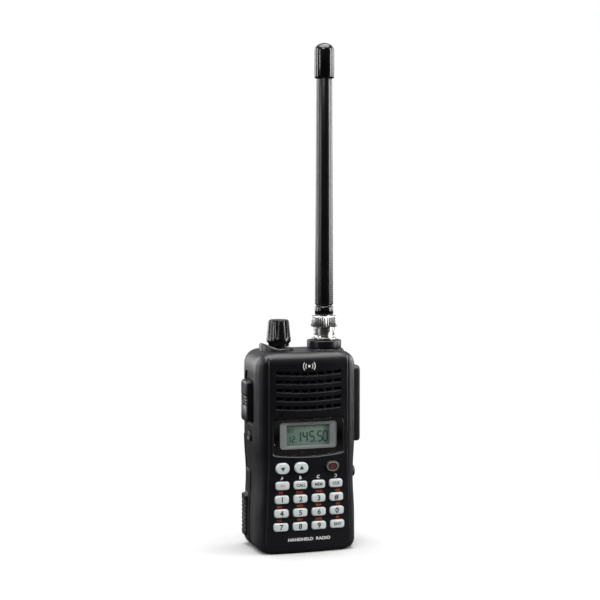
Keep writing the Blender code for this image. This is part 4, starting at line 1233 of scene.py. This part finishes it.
# --------------------------------------------------------------------------- keypad
@dataclass
class Keypad:
    """Sixteen square keys, three oval ones and everything printed round them."""

    corner: float = 1.3
    oval_corner: float = 2.8
    crown: float = 0.5
    figure: float = 2.75
    word: float = 1.5
    note: float = 1.2
    OVALS: ClassVar[tuple[str, ...]] = ("key_down", "key_up", "key_power")
    ROWS: ClassVar[Table] = (
        ("key_func", "key_call", "key_mr", "key_clr"), ("key_1", "key_2", "key_3", "key_hash"),
        ("key_4", "key_5", "key_6", "key_0"), ("key_7", "key_8", "key_9", "key_ent"))
    LEGENDS: ClassVar[Table] = (
        ("FN", "CALL", "MEM", "CLR"), ("1", "2", "3", "#"), ("4", "5", "6", "0"), ("7", "8", "9", "ENT"))
    NOTES: ClassVar[Table] = (
        ("A", "B", "C", "D"), ("STEP", "SCAN", "TONE", "LOCK"), ("BAND", "BEEP", "SKIP", "LAMP"),
        ("LOW", "REV", "SAVE", "SET"))

    @classmethod
    def names(cls) -> list[str]:
        """The nineteen keys' node names."""
        return [*cls.OVALS, *(name for row in cls.ROWS for name in row)]

    def cap(self, name: str) -> tuple[Vector, Vector]:
        """Model one key and give back its box."""
        low, high = span(name)
        oval = name in self.OVALS
        key = rounded_block(name + "_cap", low, high, Axis.Y, self.oval_corner if oval else self.corner, 8)
        crown(key, lambda normal: normal.y < -0.9, self.crown, 5)
        settle(key, DARK_KEY if name == "key_power" else KEY, name, name, angle=50.0)
        return low, high

    def legend(self, name: str, words: str, low: Vector, high: Vector) -> None:
        """Print a key's own word or figure on its face."""
        tall = self.figure if len(words) == 1 else self.word
        place = ((low.x + high.x) / 2.0, low.y - 0.005, (low.z + high.z) / 2.0)
        ink = PINK_INK if name == "key_func" else DARK_INK
        settle(lettering(name + "_legend", words, tall, place), ink, name, slot="key_grey")

    def note_over(self, row: int, words: str, low: Vector, high: Vector) -> None:
        """Print the panel's small word above a key."""
        x, tall = (low.x + high.x) / 2.0, 1.7 if row == 0 else self.note
        z = high.z + (1.75 if row == 0 else 1.3)
        text = lettering("note_" + words.lower(), words, tall, (x, SHAPE.surface(x, z) - 0.005, z))
        settle(text, ORANGE_INK if row else WHITE_INK, "radio", slot="case_black")

    def arrow(self, name: str, low: Vector, high: Vector, up: bool) -> None:
        """A small solid triangle on an oval key."""
        drop_selection()
        middle = Vector(((low.x + high.x) / 2.0, low.y - 0.005, (low.z + high.z) / 2.0))
        bpy.ops.mesh.primitive_cylinder_add(vertices=3, radius=1.5 * MM, depth=0.04 * MM,
                                            location=middle * MM,
                                            rotation=(math.pi / 2.0, 0.0 if up else math.pi, 0.0))
        piece = named(name + "_arrow")
        settle(piece, DARK_INK, name, slot="key_grey")

    def power_marks(self, low: Vector, high: Vector) -> None:
        """The pale ring and the red switch sign on the power key."""
        edge = self.crown + 0.12
        ring = rounded_block("power_ring", (low.x + edge, low.y - 0.02, low.z + edge),
                             (high.x - edge, low.y + 0.05, high.z - edge), Axis.Y, self.oval_corner - edge, 8)
        carve(ring, rounded_block("inner", (low.x + edge + 0.3, low.y - 1.0, low.z + edge + 0.3),
                                  (high.x - edge - 0.3, low.y + 1.0, high.z - edge - 0.3), Axis.Y,
                                  self.oval_corner - edge - 0.3, 8))
        settle(ring, BEIGE_INK, "key_power", slot="key_black")
        x, z = (low.x + high.x) / 2.0, (low.z + high.z) / 2.0
        sign = arc("power_sign", (x, low.y - 0.01, z), 1.05, 0.34, 50.0, 310.0)
        bar = block("power_bar", (x - 0.17, low.y - 0.03, z + 0.1), (x + 0.17, low.y + 0.01, z + 1.45))
        settle(merge("power_sign", [sign, bar]), RED_INK, "key_power", slot="key_black")

    def build(self) -> None:
        """Model the keys and print their legends."""
        for row, (names, legends, notes) in enumerate(zip(self.ROWS, self.LEGENDS, self.NOTES)):
            for name, words, note in zip(names, legends, notes):
                low, high = self.cap(name)
                self.legend(name, words, low, high)
                self.note_over(row, note, low, high)
        for name in self.OVALS:
            low, high = self.cap(name)
            if name == "key_power":
                self.power_marks(low, high)
            else:
                self.arrow(name, low, high, name == "key_up")


@dataclass
class PanelMarks:
    """The radio-wave emblem above the grille and the line at the foot of the panel."""

    emblem_z: float = 101.0
    emblem_x: float = 0.0
    foot_z: float = 7.6

    def emblem(self) -> None:
        """A dot with two pairs of arcs, as any transmitter is drawn."""
        y = SHAPE.surface(self.emblem_x, self.emblem_z) - 0.01
        spot = (self.emblem_x, y, self.emblem_z)
        parts = [arc("wave", spot, radius, 0.42, side - 38.0, 76.0)
                 for side in (90.0, 270.0) for radius in (2.0, 3.3)]
        parts.append(drum("dot", 0.7, (-0.02, 0.02), spot, Axis.Y))
        settle(merge("wave_emblem", parts), WHITE_INK, "radio", slot="case_black")

    def foot_line(self) -> None:
        """What the thing is, in plain words."""
        place = (0.0, SHAPE.surface(0.0, self.foot_z) - 0.005, self.foot_z)
        text = lettering("foot_words", "HANDHELD  RADIO", 1.6, place, stretch=1.15)
        settle(text, WHITE_INK, "radio", slot="case_black")

    def build(self) -> None:
        """Print both marks."""
        self.emblem()
        self.foot_line()


# --------------------------------------------------------------------------- controls on top
@dataclass
class VolumeControl:
    """The fluted volume knob."""

    neck: float = 5.6
    wide: float = 6.6
    top: float = 5.6
    flutes: int = 8
    flute_r: float = 1.35

    def flute(self, centre: Vector, low: float, high: float, angle: float) -> Piece:
        """A tapered flute, open at the top, with a rounded lower end."""
        foot = [(0.0, -self.flute_r), (self.flute_r * 0.7, -self.flute_r * 0.7), (self.flute_r, 0.0)]
        length = high - low
        profile = [*foot, (self.flute_r * 1.12, length), (0.0, length)]
        tool = turned("flute", profile, (0.0, 0.0, 0.0), steps=24)
        lean = math.atan2(self.wide - self.top, 10.9)
        out = self.wide + 0.55
        place = centre + Vector((out * math.cos(angle), out * math.sin(angle), low))
        tool.data.transform(Matrix.Translation(place * MM) @ Matrix.Rotation(angle, 4, "Z")
                            @ Matrix.Rotation(-lean, 4, "Y"))
        return tool

    def build(self) -> None:
        """Model and dress the knob."""
        low, high = span("volume_knob")
        middle = (low + high) / 2.0
        z0, z1 = low.z, high.z
        outline = [(2.2, z0), (self.neck, z0), (self.neck, z0 + 1.2), (self.wide - 0.15, 112.7),
                   (self.wide, 113.0), (self.wide, 113.8), (self.top + 0.1, z1 - 1.1),
                   (self.top - 0.25, z1 - 0.35),
                   (self.top - 0.9, z1), (0.0, z1), (0.0, z1 - 1.5), (2.2, z1 - 1.5)]
        knob = turned("knob", outline, (middle.x, middle.y, 0.0), steps=96, ring=True)
        centre = Vector((middle.x, middle.y, 0.0))
        tools = [self.flute(centre, 115.6, z1 + 1.0, 2.0 * math.pi * (i + 0.5) / self.flutes)
                 for i in range(self.flutes)]
        carve(knob, merge("flutes", tools))
        soften(knob, 0.2, 3, 35.0)
        settle(knob, SATIN, "volume_knob", "volume_knob", angle=30.0)


@dataclass
class Antenna:
    """The jack, its collar, the coupling nut, the sleeve, the whip and the cap."""

    x: float = 14.35
    y: float = 2.0
    ridges: int = 40
    stud_z: float = 117.9
    stud_r: float = 0.75
    climb: float = 2.0

    def lathe(self, name: str, outline: Outline, ring: bool = False,
              steps: int = 96) -> Piece:
        """Turn an outline round the antenna's axis."""
        return turned(name, outline, (self.x, self.y, 0.0), Axis.Z, steps, ring)

    @staticmethod
    def radius(node: str) -> float:
        """Largest radius of a round node."""
        low, high = span(node)
        return (high.x - low.x) / 2.0

    def collar(self) -> None:
        """The black ring on the body, with rounded edges."""
        low, high = span("antenna_collar")
        r = self.radius("antenna_collar")
        ring = self.lathe("collar", [(4.95, low.z), (r, low.z), (r, high.z), (r - 0.5, high.z),
                                     (r - 2.2, high.z), (4.95, high.z)], ring=True)
        soften(ring, 0.5, 5, 40.0)
        settle(ring, CASE, "radio", "antenna_collar")

    def jack(self) -> None:
        """The bayonet jack with its flange, bore and two studs."""
        low, high = span("antenna_jack")
        jack = self.lathe("jack", [(0.0, low.z), (4.6, low.z), (4.6, 113.4), (6.55, 113.4), (6.55, 114.4),
                                   (4.8, 114.4), (4.8, high.z), (3.5, high.z), (3.5, 115.6), (0.0, 115.6)])
        for ends in ((-5.5, -4.2), (4.2, 5.5)):
            stud = drum("stud", self.stud_r, ends, (self.x, self.y, self.stud_z), Axis.X)
            carve(jack, stud, Cut.ONTO)
        soften(jack, 0.15, 3, 40.0)
        settle(jack, NICKEL, "radio", "antenna_jack")

    def knurl(self, low: float, high: float, r: float) -> Piece:
        """The gripping ring: upright ridges with rounded ends."""
        rings = []
        for z, shrink in ((low, 0.5), (low + 0.1, 0.25), (low + 0.3, 0.06), (low + 0.6, 0.0),
                          (high - 0.9, 0.0),
                          (high - 0.5, 0.1), (high - 0.2, 0.35), (high, 0.8)):
            ring = []
            for i in range(self.ridges * 6):
                a = 2.0 * math.pi * i / (self.ridges * 6)
                wave = 0.5 + 0.5 * math.cos(self.ridges * a)
                out = r - shrink - 0.32 * (1.0 - wave)
                ring.append((self.x + out * math.cos(a), self.y + out * math.sin(a), z))
            rings.append(ring)
        return loft("knurl", rings)

    def slot(self, start: float) -> Piece:
        """The sloping slot that climbs a stud over a quarter turn."""
        rings = []
        for i in range(25):
            turn = math.radians(-10.0 + 112.0 * i / 24.0)
            share = min(max(turn / (math.pi / 2.0), 0.0), 1.0)
            z, a = self.stud_z - self.climb * share, start - turn
            rings.append([(self.x + r * math.cos(a), self.y + r * math.sin(a), z + rise)
                          for r, rise in ((4.6, -1.1), (6.4, -1.1), (6.4, 1.1), (4.6, 1.1))])
        return loft("slot", rings)

    def nut(self) -> None:
        """The coupling nut: a plain skirt with slots and a knurled ring above it."""
        low, high = span("antenna_coupling_nut")
        z0, z1 = low.z, high.z
        ring = self.knurl(120.3, z1, self.radius("antenna_coupling_nut"))
        carve(ring, self.lathe("bore", [(0.0, z0), (5.1, z0), (5.1, z1 - 0.7), (3.9, z1 - 0.7),
                                        (3.9, z1 + 1.0), (0.0, z1 + 1.0)]))
        skirt = self.lathe("skirt", [(5.1, z0), (5.65, z0), (5.75, z0 + 0.1), (5.75, 120.6), (5.1, 120.6)],
                           ring=True)
        for start in (0.0, math.pi):
            carve(skirt, self.slot(start))
        settle(merge("coupling_nut", [ring, skirt]), NICKEL, "coupling_nut", "antenna_coupling_nut", angle=35.0)

    def whip(self) -> None:
        """The sleeve, the tapering whip and the domed cap."""
        low, high = span("antenna_sleeve")
        r = self.radius("antenna_sleeve")
        sleeve = self.lathe("sleeve", [(3.9, low.z), (r - 0.3, low.z), (r, low.z + 0.5), (r, high.z - 0.9),
                                       (r - 0.25, high.z - 0.3), (r - 0.8, high.z), (3.9, high.z)], ring=True)
        settle(sleeve, CAP, "antenna", "antenna_sleeve", angle=60.0)
        low, high = span("antenna_whip")
        z0, z1 = low.z, high.z
        rod = self.lathe("whip", [(1.8, z0 - 0.36), (4.4, z0 - 0.36), (4.4, z0), (4.7, z0 + 0.15),
                                  (4.95, z0 + 0.5), (5.0, z0 + 0.9), (4.8, z0 + 33.0), (4.5, z0 + 82.0),
                                  (4.27, z1 - 0.6), (4.1, z1), (0.0, z1),
                                  (0.0, z1 - 5.0), (1.8, z1 - 5.0)], ring=True)
        settle(rod, WHIP, "antenna", "antenna_whip", angle=50.0)
        low, high = span("antenna_cap")
        z0, z1, r = low.z, high.z, self.radius("antenna_cap")
        outline = [(0.0, z0), (r - 0.8, z0), (r - 0.25, z0 + 0.2), (r, z0 + 0.8)]
        for i in range(17):
            a = math.pi / 2.0 * i / 16.0
            outline.append((r * math.cos(a), z1 - 4.2 + 4.2 * math.sin(a)))
        cap = self.lathe("cap", outline)
        settle(cap, CAP, "antenna", "antenna_cap", angle=60.0)

    def build(self) -> None:
        """Model and dress the whole stack."""
        self.collar()
        self.jack()
        self.nut()
        self.whip()


@dataclass
class SideControls:
    """The push-to-talk bar, the monitor button and the rubber covers."""

    bar_crown: float = 1.3
    cover_crown: float = 1.2

    def bar(self) -> None:
        """The push-to-talk bar: rounded, with gripping ribs in its middle."""
        low, high = span("ptt_button")
        bar = rounded_block("talk_bar", low, high, Axis.X, 2.0, 8)
        grooves = [block("rib", (low.x - 1.0, low.y - 1.0, z), (low.x + 0.5, high.y + 1.0, z + 0.7))
                   for z in (78.6, 80.2, 81.8, 83.4, 85.0)]
        crown(bar, lambda normal: normal.x < -0.9, self.bar_crown, 6)
        carve(bar, merge("ribs", grooves))
        soften(bar, 0.12, 2, 50.0)
        settle(bar, CASE, "ptt_button", "ptt_button")

    def button(self) -> None:
        """The monitor button with a dished face."""
        low, high = span("monitor_button")
        middle, r, x = (low + high) / 2.0, (high.z - low.z) / 2.0, low.x
        outline = [(0.0, x + 0.35), (r * 0.45, x + 0.25), (r * 0.72, x), (r - 0.25, x + 0.12), (r, x + 0.5),
                   (r, high.x), (0.0, high.x)]
        piece = turned("monitor", outline, (0.0, middle.y, middle.z), Axis.X, 48)
        settle(piece, RUBBER, "monitor_button", "monitor_button")

    def covers(self) -> None:
        """The long jack cover with its finger lip, and the round cap below it."""
        low, high = span("jack_cover")
        cover = rounded_block("cover", low, high, Axis.X, 2.6, 8)
        crown(cover, lambda normal: normal.x > 0.9, self.cover_crown, 6)
        carve(cover, rounded_block("panel", (high.x - 0.35, low.y + 2.6, low.z + 4.0),
                                   (high.x + 1.0, high.y - 2.6, high.z - 4.0), Axis.X, 1.5))
        soften(cover, 0.15, 3, 50.0)
        settle(cover, RUBBER, "jack_cover", "jack_cover")
        low, high = span("dc_cap")
        middle, r, x = (low + high) / 2.0, (high.z - low.z) / 2.0, high.x
        outline = [(0.0, low.x), (r - 0.3, low.x), (r, low.x + 0.3), (r, x - 0.9), (r - 0.35, x - 0.3),
                   (r - 1.0, x),
                   (r * 0.4, x), (r * 0.3, x - 0.3), (0.0, x - 0.3)]
        piece = turned("power_cap", outline, (0.0, middle.y, middle.z), Axis.X, 48)
        settle(piece, RUBBER, "dc_cap", "dc_cap")

    def build(self) -> None:
        """Model and dress the side parts."""
        self.bar()
        self.button()
        self.covers()


@dataclass
class CadDress:
    """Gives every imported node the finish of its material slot."""

    slots: dict = field(default_factory=lambda: {
        "case_black": CASE, "chassis_black": CAST, "screw_steel": OXIDE, "battery_black": PACK,
        "cell_wrap": WRAP,
        "contact_gold": GOLD, "latch_black": SATIN, "board_green": BOARD, "shield_tin": TINNED,
        "silicone_grey": SILICONE, "speaker_black": CONE, "gauze_black": GAUZE, "microphone_grey": TINNED,
        "switch_black": SWITCH, "window_clear": CLEAR, "bezel_grey": BEZEL, "display_glass": SEGMENT,
        "light_guide": GUIDE, "key_grey": KEY, "key_black": DARK_KEY, "control_black": SATIN,
        "shaft_steel": OXIDE, "cover_rubber": RUBBER, "connector_chrome": NICKEL, "collar_black": SATIN,
        "whip_black": WHIP, "element_copper": COPPER})

    def build(self) -> None:
        """Dress the nodes by the record's own table."""
        for part in frame["record"]["subparts"]:
            node = frame["nodes"][part["node"]]
            node.data.materials.clear()
            node.data.materials.append(self.slots[part["material_slot"]].material())


def main() -> None:
    """Dress the model, build every sub-assembly and set the stage."""
    logging.basicConfig(level=logging.INFO, format="%(name)s: %(message)s")
    builders = (CadDress(), FrontHousing(), RearParts(), DisplayWindow(), Keypad(), PanelMarks(),
                VolumeControl(),
                Antenna(), SideControls(), Stage())
    for builder in builders:
        LOG.info("building %s", type(builder).__name__)
        builder.build()
    drop_selection()


if __name__ == "__main__":
    main()
